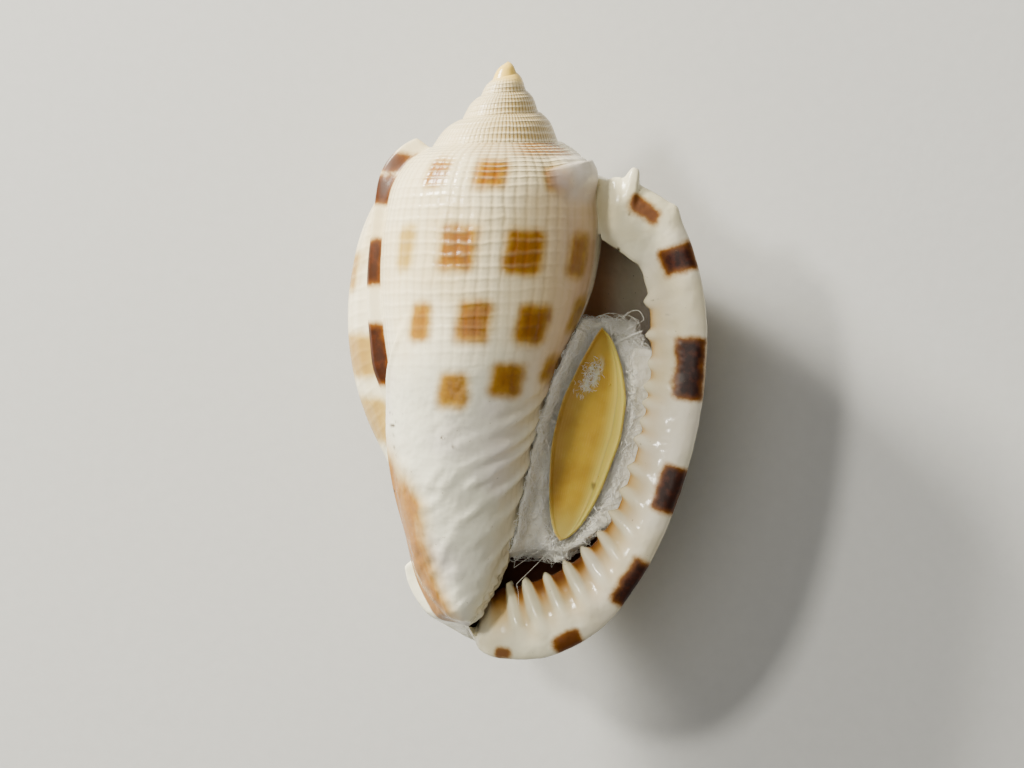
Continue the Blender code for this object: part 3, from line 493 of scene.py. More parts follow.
# brown specks in the glaze: x, t, half length, half width
SPECKS = [
    (-3.75, 33.05, 0.17, 0.08), (-2.75, 33.7, 0.1, 0.1), (-3.15, 37.1, 0.14, 0.09), (-8.35, 31.2, 0.1, 0.07),
    (-8.15, 32.3, 0.16, 0.06), (-8.0, 33.0, 0.09, 0.09), (-7.75, 32.0, 0.12, 0.05), (-7.9, 34.1, 0.08, 0.08),
    (-7.6, 34.9, 0.07, 0.1), (-6.9, 41.1, 0.1, 0.12), (-6.75, 44.0, 0.12, 0.1), (11.2, 13.0, 0.1, 0.1),
    (10.55, 15.9, 0.1, 0.12), (14.1, 20.1, 0.14, 0.08), (14.9, 21.4, 0.08, 0.06), (9.9, 48.1, 0.07, 0.07),
    (6.2, 47.5, 0.09, 0.06), (-7.7, 38.0, 0.06, 0.08),
]
# right border of the rusty stain on the shield: distance down the axis, x
STAIN_BORDER = [
    (33.0, -8.6), (35.6, -7.3), (37.5, -6.0), (39.1, -4.9), (42.1, -4.5), (46.1, -3.0),
    (48.0, -2.0), (49.5, -1.0),
]


def box_inside(dx, dy, half_x, half_y, corner):
    """Distance inside a rounded box in mm, negative outside."""
    qx = np.abs(dx) - (half_x - corner)
    qy = np.abs(dy) - (half_y - corner)
    outside = np.hypot(np.maximum(qx, 0), np.maximum(qy, 0))
    return corner - outside - np.minimum(np.maximum(qx, qy), 0)


def strongest(layers, shape):
    """The largest inside distance of several marks and the strength of that mark."""
    depth = np.full(shape, OFF)
    tone = np.zeros(shape)
    for inside, strength in layers:
        tone = np.where(inside > depth, strength, tone)
        depth = np.maximum(inside, depth)
    return depth, tone


def spot_layers(theta, points):
    """Inside distance and strength of each spot of the last whorl."""
    spots = list(SPOTS)
    for k_old, k_new, shift, wide, tall, strength in BACK_ROWS:
        for n, angle in enumerate(BACK_ANGLES):
            here = angle + shift + 2.5 * math.sin(5.1 * n + 3.3 * k_old)
            k = k_old + (here - BACK_ANGLES[0]) / 177.0 * (k_new - k_old)
            t = along(section_stations(np.array([here]))[:, 0], np.array([k]))[0, 1]
            faint = 0.60 + 0.40 * smooth(195, 240, here)
            spots.append((here, t, wide, tall * (1 + 0.12 * math.sin(2.7 * n + k_old)), strength * faint))
    for angle, t, wide, tall, strength in spots:
        arc = np.radians(theta - angle) * radius_of(points)
        down = points[..., 1] - t
        yield box_inside(arc - 0.10 * down, down, wide / 2, tall / 2, 0.95), strength


def lip_layers(points):
    """Inside distance and strength of each block on the lip."""
    line = lip_line(LIP_OUTER, np.linspace(0, STATIONS, 200))[:, :2]
    for x, t, half_long, half_wide, strength in LIP_BLOCKS:
        n = int(np.argmin(np.linalg.norm(line - (x, t), axis=1)))
        heading = unit(line[min(n + 3, 199)] - line[max(n - 3, 0)])
        away = points[..., :2] - (x, t)
        across = away @ np.array([heading[1], -heading[0]])
        yield box_inside(away @ heading, across, half_long, half_wide, 0.45), strength


def old_lip_layers(theta, points):
    """Inside distance and strength of each block on the old lip."""
    wide = np.minimum(np.radians(theta - 173.8), np.radians(185.5 - theta)) * radius_of(points)
    for start, end, strength in OLD_LIP_BLOCKS:
        tall = np.minimum(points[..., 1] - start, end - points[..., 1])
        yield np.minimum(wide, tall), strength


def speck_mask(points):
    """1 in each brown speck of the mouth side."""
    mask = np.zeros(points.shape[:-1])
    for x, t, half_x, half_t in SPECKS:
        far = np.hypot((points[..., 0] - x) / half_x, (points[..., 1] - t) / half_t)
        mask = np.maximum(mask, fade(0.7, 2.1, far))
    return mask * smooth(-1.0, 0.5, points[..., 2])


def counted(lengths, pitch):
    """Running count of steps of the given pitches over the given lengths."""
    return np.concatenate([[0], np.cumsum(lengths / pitch)])


def net_places(theta, k):
    """Counts of spiral cords and of growth threads up to each point."""
    rows = np.linspace(0, STATIONS, 281)
    line = along(section_stations(np.array([100.0])), rows)[:, 0]
    pitch = CORD_PITCH[0] + (CORD_PITCH[1] - CORD_PITCH[0]) * smooth(1.6, 3.4, rows[1:])
    down = counted(np.linalg.norm(np.diff(line, axis=0), axis=1), pitch)
    cords = np.interp(k, rows, down) * (0.62 + 0.38 * smooth(-200, 20, theta))
    angles = np.linspace(-1440, 400, 461)
    radius = curves(SUTURE, angles + 360.0)[0]
    pitch = THREAD_PITCH[0] + (THREAD_PITCH[1] - THREAD_PITCH[0]) * smooth(-330, 30, angles[1:])
    arc = counted(np.radians(np.diff(angles)) * (radius[1:] + radius[:-1]) / 2, pitch)
    return cords, np.interp(theta, angles, arc)


def outer_values(theta, k, points):
    """What the material needs to know over the outer surface."""
    shape = points.shape[:-1]
    theta = np.broadcast_to(theta, shape)
    k = np.broadcast_to(k, shape)
    x, t = points[..., 0], points[..., 1]
    edge = shield_edge(k)
    shield = window((40, 90), (edge - 0.5, edge + 1.0), theta) * smooth(5.6, 7.2, k)
    callus = window((6, 19), (38, 58), theta) * window((0.5, 1.2), (2.2, 3.4), k)
    wall = window((-30, 10), (26, 60), theta) * smooth(2.0, 3.5, k)
    glaze = np.clip(np.maximum(np.maximum(shield, callus), 0.7 * wall), 0, 1)
    ear = np.minimum((k - straight(CALLUS_LINE, theta)) / 0.10, (66.0 - theta) / 14.0)
    ear = np.clip(np.minimum(ear, (theta - 20.5) / 2.0), -1.0, 2.0) * fade(2.3, 3.5, k)

    spot, spot_tone = strongest(spot_layers(theta, points), shape)
    blocks = list(old_lip_layers(theta, points))
    blocks += [(np.where(theta > 350, inside - 3.0 * fade(361, 369, theta), OFF), tone)
               for inside, tone in lip_layers(points)]
    block, block_tone = strongest(blocks, shape)
    stain = smooth(-1.5, 1.9, straight(STAIN_BORDER, t) - x) * smooth(30.5, 36.5, t)
    stain = stain * smooth(0.05, 0.30, np.radians(edge - theta) * radius_of(points))
    stain = stain * (theta > 90) * fade(13.0, 13.8, k)
    # painted shade: brownish darkening between the columella's ridges
    furrow = 1 - np.clip(columella_folds(theta, k) / LIRA[1], 0, 1)
    furrow = furrow * window((10, 30), (60, 96), theta) * window((6.9, 7.5), (10.9, 12.0), k)
    warm = smooth(0.8, 1.6, t) * fade(4.2, 8.0, k) * (1 - 0.6 * smooth(150, 240, theta))
    # painted shade: pinkish darkening of the body whorl's right flank, beside the lip
    blush = window((18, 26), (36, 92), theta) * window((2.1, 3.0), (6.4, 8.2), k)

    right_side = window((-40, 10), (70, 140), np.mod(theta + 40.0, 360.0) - 40.0)
    tint = (fade(1.8, 2.6, k) * (0.25 + 0.75 * right_side) * smooth(1.6, 2.6, t)
            * (1 - 0.72 * smooth(-60, 30, theta)))
    ring = window((22, 34), (100, 126), theta) * (1 - 0.50 * smooth(66, 90, theta)) * fade(0.85, 1.30, k)
    before_lip = fade(367, 377, theta)
    net = (1 - 0.45 * smooth(2.5, 6.5, k)) * (1 - 0.93 * glaze) * smooth(1.4, 2.3, t) * before_lip
    net = net * (1 - 0.5 * smooth(8, 11, k)) * (1 - window((172.5, 174.5), (186, 190), theta))
    cords, threads = net_places(theta, k)
    return {
        "spot": np.where(theta < 19, OFF, spot), "spot_tone": spot_tone,
        "block": block, "block_tone": block_tone,
        "stain": stain, "glaze": glaze, "tint": np.maximum(tint, 0.12 * fade(3, 7, k)) * before_lip,
        "ring": ring * (theta > 20), "net": net, "cords": cords, "threads": threads,
        "apex": fade(1.3, 2.2, t),
        # brown tint and painted shade on the wall inside the mouth
        "hollow": np.where((k > 2) & (theta < 30), fade(-14, 10, theta), 0.0), "speck": speck_mask(points),
        # lip: cream tint over the lip, partly painted shade where it gets less light
        "warm": warm, "blush": blush, "furrow": furrow, "ear": ear, "lip": 0.8 * smooth(356, 378, theta),
    }


# ---------------------------------------------------------------- growing the shell
def grown_whorl(plain, theta, k):
    """The last whorl with its columella's folds and knobs and a slight unevenness."""
    lift = columella_folds(theta, k) + columella_knobs(plain, theta, k)
    lift = lift + 0.05 * window((2.0, 3.0), (12.0, 13.5), k) * wobble(plain, 0.30, 11.7)
    lift = lift * fade(366, 378, theta) * smooth(20, 24, theta + 8 * (k > 3))
    lift[0] = 0
    return plain + lift[..., None] * normals_of(plain)


def lining_points(outside, wall, rows):
    """The inner side of the last whorl, its wall in from the outside towards the opposite wall."""
    at = np.linspace(0, len(wall) - 1, len(rows))
    low = np.floor(at).astype(int)
    high = np.minimum(low + 1, len(wall) - 1)
    part = (at - low)[:, None, None]
    opposite = wall[low] * (1 - part) + wall[high] * part
    gap = np.linalg.norm(opposite - outside, axis=-1, keepdims=True)
    lining = outside + np.minimum(WALL / np.maximum(gap, 1e-6), 0.5) * (opposite - outside)
    level = int(np.searchsorted(rows, CAVITY_TOP))
    share = (rows[:level] / rows[level])[:, None, None]
    lining[:level] = opposite[0] + share * (lining[level] - opposite[0])
    return lining, opposite[:, :1]


def lining_brown_and_shade(lining, rows, theta):
    """How deep in the mouth each point of the lining lies, as its brown tint and painted shade: 1 and more is
    painted deep shade; the upper wall near the lip is made lighter as painted light.
    """
    upper_part = fade(5.5, 7.5, rows)[:, None]
    # painted shade: darker deeper in the mouth and further down the lining; painted light on the upper wall
    # near the lip
    dark = fade(352 - 60 * upper_part, 376 - 16 * upper_part, theta) * (1 + smooth(7.0, 9.0, rows)[:, None])
    return (0.20 + 0.80 * dark) * (1 - 0.62 * upper_part * smooth(9.2, 11.9, lining[..., 0]))


def rim_relief(rim, rows, places, folds):
    """Height of the folds and lumps of the rim."""
    height = folds + 0.05 * wobble(rim, 0.8, 5.3) * np.sin(math.pi * places) ** 0.5
    lumpy = smooth(0.45, 0.75, places) * fade(4.6, 6.4, rows)[:, None]
    height = height + 0.22 * lumpy * np.clip(wobble(rim, 0.9, 2.7) + 0.1, -0.1, 1.0)
    height[0] = 0
    height[:, 0] = 0
    height[:, -1] = 0
    return height * fade(12.5, 13.6, rows)[:, None]


def fine_shell():
    """Vertices, values and faces of the whole shell in shell coordinates."""
    below = np.linspace(2, STATIONS, PER_STATION * (STATIONS - 2) + 1)
    rows = np.concatenate([np.linspace(0, 2, SEAM + 1), below[1:]])
    end = len(rows) - 1
    old, last, hidden = (spaced(spans) for spans in (OLD_SPANS, LAST_SPANS, HIDDEN_SPANS))
    first = len(old) - 1
    angles = np.concatenate([old[:-1], last])
    k = rows[:, None]
    skin = Skin()

    upper = outer_points(angles, rows[:SEAM + 1])
    plain = np.concatenate([upper[:, first:], outer_points(last, rows[SEAM + 1:])])
    whorl = grown_whorl(plain, last, k)
    upper[:, first:] = whorl[:SEAM + 1]
    ids_upper = skin.add(upper, **outer_values(angles, k[:SEAM + 1], upper))
    ids_lower = skin.add(whorl[SEAM + 1:], **outer_values(last, k[SEAM + 1:], whorl[SEAM + 1:]))
    ids = np.concatenate([ids_upper[:, first:], ids_lower])
    tip = ids[end, -1]
    ids[end] = tip

    wall = outer_points(hidden, rows[FIRST:])
    wall[:, -1] = plain[FIRST:, 0]
    lift = columella_folds(hidden, k[FIRST:]) * fade(18, 20, hidden)
    wall_ids = skin.add(wall + lift[..., None] * normals_of(wall), **outer_values(hidden, k[FIRST:], wall))
    wall_ids[:, -1] = ids[FIRST:, 0]
    wall_ids[-1] = tip

    lining, inner_end = lining_points(outer_points(hidden + 360.0, rows), wall, rows)
    # the lining and its closed inner end take the mouth's brown tint and painted shade
    lining_ids = skin.add(lining, hollow=lining_brown_and_shade(lining, rows, hidden + 360.0), glaze=0.9)
    lining_ids[0, -1] = ids[FIRST, 0]
    lining_ids[-1] = tip
    cap = skin.add(inner_end, hollow=1.0)

    fine = np.linspace(0, end, SPLIT * end + 1)
    places = np.linspace(0, 1, RIM_STEPS + 1)
    finer = {}
    for name, line in (("rows", k), ("back", whorl[:, -1]), ("inside", lining[:, -1])):
        finer[name] = np.stack([np.interp(fine, np.arange(end + 1), column) for column in line.T], 1)
    fine_rows = finer["rows"][:, 0]
    rim = rim_points(fine_rows, finer["back"], finer["inside"], places).transpose(1, 0, 2)
    rim = rim + (whorl[SEAM:FIRST + 1, 0] - rim[0]) * fade(0.0, 0.45, fine_rows)[:, None, None]
    folds, groove, notch = lip_folds(fine_rows, places)
    rim = rim + rim_relief(rim, fine_rows, places, folds)[..., None] * normals_of(rim)
    block, block_tone = strongest(lip_layers(rim), rim.shape[:-1])
    # the rim's lip tint is cream, partly painted shade
    rim_ids = skin.add(
        rim, block=np.where(places > 0.78, OFF, block), block_tone=block_tone, glaze=0.85, groove=groove,
        # painted shade darkens the rim where it turns in to the lining
        notch=notch, hollow=0.35 * smooth(0.86, 1.0, places), speck=speck_mask(rim), lip=1.0)
    rim_ids[::SPLIT, 0] = ids[:, -1]
    rim_ids[0] = ids[SEAM:FIRST + 1, 0]
    rim_ids[::SPLIT, -1] = lining_ids[:, -1]
    rim_ids[-1] = tip

    faces = sheet(ids_upper[:, :len(old)]) + sheet(ids[:, :-1])
    for i in range(end):
        middle = SPLIT * i + 1
        faces.append(cleaned((ids[i, -2], ids[i + 1, -2], ids[i + 1, -1], rim_ids[middle, 0], ids[i, -1])))
        faces.append(cleaned((lining_ids[i + 1, -2], lining_ids[i, -2], lining_ids[i, -1],
                              rim_ids[middle, -1],
                              lining_ids[i + 1, -1])))
    for grid in (wall_ids, lining_ids[::-1, :-1], rim_ids, np.concatenate([lining_ids[:, :1], cap], axis=1)):
        faces += sheet(grid)
    apex = skin.add(np.zeros((1, 3)), apex=1.0)
    ring = ids_upper[0, :APEX_TURN + 1].tolist() + ids_upper[SEAM - 1:0:-1, 0].tolist()
    faces += [(int(apex[0]), a, b) for a, b in zip(ring, ring[1:] + ring[:1])]
    points, values = skin.arrays()
    return points, values, [face for face in faces if face is not None]


def rest_turn():
    """Turn from the shell's own axes, apex to +Y and mouth to +Z, to how it lies."""
    pitch = Matrix.Rotation(math.radians(REST_PITCH), 4, "X")
    return pitch @ Matrix.Rotation(math.radians(REST_ROLL), 4, "Y")


def turned(points):
    """Shell coordinates in mm to metres as the shell lies, before it is put in place."""
    return points * (1, -1, 1) * MM @ np.array(rest_turn().to_3x3()).T


def own_places(points, shift):
    """Points in metres, as the shell lies, back in shell coordinates."""
    return (points - shift) @ np.array(rest_turn().to_3x3()) / MM * (1, -1, 1)


# ---------------------------------------------------------------- mesh objects
def new_object(name, data):
    made = bpy.data.objects.new(name, data)
    bpy.context.scene.collection.objects.link(made)
    return made


def mesh_piece(name, points, faces, smooth_shading=True):
    mesh = bpy.data.meshes.new(name)
    mesh.from_pydata(points.tolist(), [], faces)
    mesh.update()
    mesh.polygons.foreach_set("use_smooth", [smooth_shading] * len(mesh.polygons))
    return new_object(name, mesh)


def give_value(mesh, name, values):
    layer = mesh.attributes.new(name, "FLOAT", "POINT")
    layer.data.foreach_set("value", np.asarray(values, np.float32))


def read(items, name, width=3, kind=float):
    """A property of many mesh items, a row each."""
    flat = np.empty(len(items) * width, kind)
    items.foreach_get(name, flat)
    return flat.reshape(-1, width)


def surface(piece):
    return BVHTree.FromObject(piece, bpy.context.evaluated_depsgraph_get())


def build_shell():
    """The shell in place: the middle of its box on the middle of the solid's, and kept inside that box."""
    points, values, faces = fine_shell()
    used = np.unique([v for face in faces for v in face])
    renumber = np.zeros(len(points), int)
    renumber[used] = np.arange(len(used))
    faces = [tuple(renumber[v] for v in reversed(face)) for face in faces]
    placed = turned(points[used])
    low, high = (np.array(corner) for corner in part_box("shell"))
    shift = (low + high) / 2 - (placed.min(0) + placed.max(0)) / 2
    piece = mesh_piece("helmet_shell_skin", np.clip(placed + shift, low, high), faces)
    counts = np.stack([values.pop("cords")[used], values.pop("threads")[used]], 1)
    for name in sorted(values):
        give_value(piece.data, name, values[name][used])
    layer = piece.data.uv_layers.new(name="ribs")
    corners = counts[read(piece.data.loops, "vertex_index", 1, int)[:, 0]]
    layer.data.foreach_set("uv", corners.astype(np.float32).reshape(-1))
    return piece, shift


# ---------------------------------------------------------------- material graphs
def linear(colour):
    """An sRGB colour from 0 to 255 as the linear colour that shaders take."""
    parts = [part / 255 for part in colour]
    return [part / 12.92 if part <= 0.04045 else ((part + 0.055) / 1.055) ** 2.4 for part in parts]


class Graph:
    """A material's nodes, made by short calls. Colours are sRGB, from 0 to 255."""

    def __init__(self, name):
        self.material = bpy.data.materials.new(name)
        self.material.use_nodes = True
        self.tree = self.material.node_tree
        self.shader = self.tree.nodes["Principled BSDF"]

    def put(self, socket, value):
        if isinstance(value, bpy.types.NodeSocket):
            self.tree.links.new(value, socket)
        elif socket.type == "RGBA":
            socket.default_value = (*linear(value), 1.0)
        else:
            socket.default_value = value

    def node(self, kind, inputs, **settings):
        """The outputs of a new node."""
        node = self.tree.nodes.new("ShaderNode" + kind)
        for name, setting in settings.items():
            setattr(node, name, setting)
        for name, value in inputs.items():
            self.put(node.inputs[name], value)
        return node.outputs

    def math(self, operation, *values):
        return self.node("Math", dict(enumerate(values)), operation=operation)[0]

    def times(self, first, *others):
        for other in others:
            first = self.math("MULTIPLY", first, other)
        return first

    def plus(self, first, second):
        return self.math("ADD", first, second)

    def rest(self, value):
        return self.math("SUBTRACT", 1.0, value)

    def shaken(self, noise, amount):
        return self.times(self.math("SUBTRACT", noise, 0.5), amount)

    def step(self, value, low, high, start=0.0, stop=1.0):
        """Smooth step from start at low to stop at high."""
        ends = {"Value": value, "From Min": low, "From Max": high, "To Min": start, "To Max": stop}
        return self.node("MapRange", ends, interpolation_type="SMOOTHSTEP")["Result"]

    def mix(self, share, first, second):
        return self.node("Mix", {0: share, 6: first, 7: second}, data_type="RGBA")[2]

    def paint(self, colour, *coats):
        """The colour under coats, each a share and a colour."""
        for share, coat in coats:
            colour = self.mix(share, colour, coat)
        return colour

    def value(self, name):
        return self.node("Attribute", {}, attribute_name=name)["Fac"]

    def coordinates(self, stretch=(1.0, 1.0, 1.0)):
        place = self.node("TexCoord", {})["Object"]
        return self.node("Mapping", {"Vector": place, "Scale": stretch})["Vector"]

    def noise(self, scale, detail=3.0, roughness=0.55, stretch=(1.0, 1.0, 1.0)):
        inputs = {"Vector": self.coordinates(stretch), "Scale": scale, "Detail": detail,
                  "Roughness": roughness}
        return self.node("TexNoise", inputs)["Fac"]

    def bumps(self, *layers):
        """Normals bumped by layers, each a height from 0 to 1 and its size in metres."""
        under = {}
        for height, distance in layers:
            under = {"Normal": self.node("Bump", {"Height": height, "Distance": distance, **under})["Normal"]}
        return under["Normal"]

    def finish(self, **sockets):
        for name, value in sockets.items():
            self.put(self.shader.inputs[name.replace("_", " ")], value)
        return self.material


def shell_net(g):
    """Raised net of narrow spiral cords over broad growth threads, and the narrow grooves between threads."""
    counts = g.node("SeparateXYZ", {0: g.node("UVMap", {}, uv_map="ribs")[0]})
    shake = g.shaken(g.noise(300.0), 0.70)
    waves = []
    for count in (counts[0], counts[1]):
        angle = g.times(g.plus(count, shake), 2 * math.pi)
        waves.append(g.math("MULTIPLY_ADD", g.math("COSINE", angle), 0.5, 0.5))
    return g.math("POWER", waves[0], 2.6), g.math("POWER", g.rest(waves[1]), 2.2)


def shell_white(g, broad, cord, groove, net):
    """Ground colour: warm on the whorls, greyer under the glaze, tan in the grooves of the spire, with
    painted shade on the right flank, over the lip and between the columella's ridges.
    """
    warm = g.mix(g.step(broad, 0.3, 0.7), (248, 233, 192), (238, 217, 168))
    veil = g.mix(g.step(g.noise(95.0, 2.0), 0.4, 0.6), (224, 214, 212), (224, 222, 204))
    tan = g.math("MULTIPLY_ADD", groove, 0.55, g.times(g.rest(cord), 0.55))
    gaps = g.plus(g.rest(cord), g.times(broad, 0.5))
    return g.paint(
        g.mix(g.step(broad, 0.35, 0.70), (250, 245, 220), (242, 234, 200)),
        (g.value("warm"), warm),
        (g.times(g.value("glaze"), 0.72), veil),
        # painted shade on the right flank
        (g.times(g.value("blush"), g.step(broad, 0.2, 0.7, 0.90, 0.65)), (200, 162, 126)),
        # cream tint of the lip, partly painted shade where the lip gets less light
        (g.times(g.value("lip"), g.step(broad, 0.25, 0.75, 0.30, 0.80)), (214, 202, 160)),
        (g.times(tan, g.value("tint")), (158, 128, 66)),
        (g.times(groove, net, 0.12), (176, 146, 92)),
        (g.times(g.value("ring"), g.step(gaps, 0.45, 1.05, 0.15, 1.0)), (140, 92, 22)),
        # painted shade between the columella's ridges
        (g.times(g.value("furrow"), g.step(broad, 0.25, 0.75, 0.55, 0.25)), (162, 140, 96)))


def shell_spots(g, uneven, cord, groove, net):
    """Share and colour of the square spots: pale where weak, and lighter on the cords of the upper rows,
    partly paler cords and partly painted highlight for glints on the beads.
    """
    spot = g.plus(g.value("spot"), g.shaken(uneven, 0.70))
    tone = g.value("spot_tone")
    colour = g.paint(
        g.mix(g.step(spot, 0.1, 1.3), (180, 136, 40), (146, 94, 18)),
        (g.step(uneven, 0.35, 0.75, 0.0, 0.45), (124, 74, 16)),
        (g.times(groove, net, 0.45), (140, 72, 14)),
        (g.step(tone, 0.30, 0.80, 0.70, 0.0), (202, 172, 40)))
    # paler cords over the spots, partly painted highlight for glints on the beads
    light = g.times(cord, net, g.step(uneven, 0.3, 0.7, 0.05, 0.34), g.step(net, 0.60, 0.92, 0.15, 1.0))
    return g.times(g.step(spot, -0.50, 0.72), g.step(tone, 0.0, 0.8, 0.50, 1.0), g.rest(light)), colour


def shell_stain(g):
    """Share and colour of the rusty stain, drawn out down the shield."""
    streak = g.noise(500.0, 3.0, 0.6, (1.0, 0.35, 1.0))
    stain = g.times(g.value("stain"), g.step(streak, 0.25, 0.7, 0.70, 1.0))
    colour = g.paint(
        g.mix(g.step(stain, 0.25, 0.85), (196, 154, 48), (150, 98, 12)),
        (g.step(streak, 0.5, 0.75, 0.0, 0.5), (118, 70, 10)))
    return g.step(stain, 0.0, 0.75, 0.0, 0.97), colour


def shell_blocks(g, fine):
    """Share and colour of the blocks on both lips: brown at the edge, nearly black in the middle."""
    block = g.plus(g.value("block"), g.shaken(g.noise(560.0, 4.0, 0.6), 1.0))
    tone = g.value("block_tone")
    core = g.times(g.step(block, 0.05, 0.75), g.step(tone, 0.40, 0.90))
    colour = g.paint(
        g.mix(g.step(block, -0.25, 0.40), (162, 114, 22), (108, 60, 10)),
        (core, g.mix(g.step(fine, 0.4, 0.8), (36, 11, 5), (74, 30, 10))))
    return g.times(g.step(block, -0.38, 0.26), g.step(tone, 0.2, 0.6, 0.70, 1.0)), colour


def shell_material():
    g = Graph("shell_glaze")
    broad = g.noise(160.0)
    fine = g.noise(1500.0, 4.0, 0.6)
    uneven = g.noise(700.0, 2.0)
    ear = g.step(g.value("ear"), 0.0, 1.0)
    net = g.times(g.value("net"), g.rest(ear))
    glaze = g.value("glaze")
    notch = g.value("notch")
    hollow = g.value("hollow")
    cord, groove = shell_net(g)
    blocks = shell_blocks(g, fine)
    inside = g.mix(g.step(broad, 0.3, 0.7), (232, 190, 142), (200, 146, 96))
    dust = g.times(g.step(g.noise(2600.0, 2.0, 0.5), 0.71, 0.78), g.math("MULTIPLY_ADD", glaze, 0.45, 0.10))
    colour = g.paint(
        shell_white(g, broad, cord, groove, net),
        shell_spots(g, uneven, cord, groove, net),
        (g.times(ear, g.step(uneven, 0.3, 0.7, 0.46, 0.62)), (218, 206, 198)),
        shell_stain(g),
        (g.times(g.value("groove"), g.step(broad, 0.3, 0.7, 0.60, 0.95)), (200, 166, 106)),
        (g.step(notch, 0.0, 0.55), g.mix(g.step(notch, 0.2, 0.8), (176, 128, 58), (96, 52, 18))),
        blocks,
        # brown inside the mouth, then painted shade in dark brown deeper in
        (g.step(hollow, 0.0, 1.0), g.mix(g.step(hollow, 1.0, 1.7), inside, (84, 50, 34))),
        (g.value("apex"), (240, 202, 98)),
        (dust, (120, 98, 72)),
        (g.times(g.value("speck"), g.step(fine, 0.42, 0.54, 0.1, 1.0)), (60, 40, 20)))

    tint = g.value("tint")
    raised = g.math("SUBTRACT", g.times(cord, g.step(tint, 0.0, 0.6, 0.50, 1.0)),
                    g.times(groove, g.step(tint, 0.0, 0.6, 0.40, 0.30)))
    normal = g.bumps(
        (g.times(raised, net), 0.000085), (g.noise(1100.0, 2.0, 0.5, (1.0, 0.25, 1.0)), 0.000020),
        (g.times(g.noise(520.0, 2.0, 0.5), glaze), 0.00022), (fine, 0.000010))
    rough = g.math("MULTIPLY_ADD", net, 0.06, g.times(blocks[0], 0.20))
    rough = g.plus(g.plus(g.step(broad, 0.25, 0.75, 0.13, 0.26), rough), g.times(hollow, 0.15))
    return g.finish(Base_Color=colour, Roughness=rough, Normal=normal, Coat_Weight=0.05, Coat_Roughness=0.10,
                    Specular_IOR_Level=0.30)


def cotton_material():
    g = Graph("cotton_fluff")
    lumps = g.noise(420.0, 4.0, 0.6)
    hairs = g.noise(2600.0, 4.0, 0.7, (1.0, 0.3, 1.0))
    colour = g.mix(g.step(lumps, 0.3, 0.7), (250, 247, 234), (226, 220, 202))
    colour = g.mix(g.step(hairs, 0.45, 0.8, 0.0, 0.35), colour, (250, 248, 244))
    return g.finish(Base_Color=colour, Roughness=g.step(lumps, 0.2, 0.8, 0.82, 0.97),
                    Normal=g.bumps((lumps, 0.0003), (hairs, 0.00012)),
                    Sheen_Weight=0.8, Sheen_Roughness=0.5, Specular_IOR_Level=0.15)


def fibre_material():
    g = Graph("cotton_fibre")
    tone = g.noise(900.0, 2.0)
    return g.finish(Base_Color=g.mix(g.step(tone, 0.3, 0.7), (255, 253, 246), (244, 241, 230)),
                    Roughness=g.step(tone, 0.2, 0.8, 0.6, 0.8),
                    Normal=g.bumps((g.noise(9000.0, 2.0), 0.00001)),
                    Sheen_Weight=0.3, Sheen_Roughness=0.4)


def operculum_material():
    g = Graph("operculum_horn")
    across = g.value("across")
    broad = g.noise(260.0)
    fine = g.noise(1800.0, 4.0, 0.6)
    wavy = g.plus(across, g.shaken(broad, 0.05))
    lines = g.math("MULTIPLY_ADD", g.math("SINE", g.times(wavy, 150.0)), 0.5, 0.5)
    growth = g.math("ABSOLUTE", g.math("SUBTRACT", wavy, 0.84))
    scratch = g.noise(3200.0, 3.0, 0.7, (1.0, 0.25, 1.0))
    frayed = g.times(g.value("frayed"), g.step(scratch, 0.42, 0.60))
    colour = g.paint(
        g.mix(g.step(broad, 0.3, 0.7), (194, 156, 22), (168, 128, 14)),
        (g.step(across, 0.0, 0.42, 0.70, 0.0), (146, 102, 8)),
        (g.step(across, 0.62, 0.90), (222, 202, 92)),
        (g.step(g.value("low"), 0.80, 0.97, 0.0, 0.7), (196, 178, 92)),
        (g.times(lines, g.step(fine, 0.4, 0.7, 0.0, 0.08)), (232, 208, 126)),
        (g.step(growth, 0.0, 0.016, 0.55, 0.0), (176, 156, 92)),
        # paler thin edge, partly painted highlight along the rim
        (g.step(g.value("rim"), 0.0, 0.16, 0.75, 0.0), (236, 218, 150)),
        (frayed, (232, 226, 190)),
        (g.times(g.value("dot"), 0.8), (104, 86, 34)),
        (g.step(fine, 0.66, 0.80, 0.0, 0.30), (150, 112, 40)))
    cells = g.node("TexVoronoi", {"Vector": g.coordinates(), "Scale": 1100.0})["Distance"]
    grains = g.times(g.step(cells, 0.0, 0.16, 1.0, 0.0), g.step(g.noise(700.0, 1.0), 0.56, 0.62))
    normal = g.bumps((lines, 0.000004), (grains, 0.00006), (frayed, 0.00006))
    rough = g.plus(g.step(broad, 0.3, 0.7, 0.42, 0.54), g.times(frayed, 0.4))
    return g.finish(Base_Color=colour, Roughness=rough, Normal=normal, Coat_Weight=0.05, Coat_Roughness=0.2,
                    Subsurface_Weight=0.15, Subsurface_Scale=0.0006, Specular_IOR_Level=0.3)


# ---------------------------------------------------------------- operculum
PLATE_GRID = (96, 48)        # points along and across it


def plate_edges(u):
    """Points (x, t) on the operculum's left and right edges at the given parts of its length."""
    start, end = np.array(PLATE_ENDS)
    run = unit(end - start)
    side = np.array([run[1], -run[0]])
    middle = start + u[:, None] * (end - start)
    return middle - curves(PLATE_LEFT, u).T * side, middle + curves(PLATE_RIGHT, u).T * side


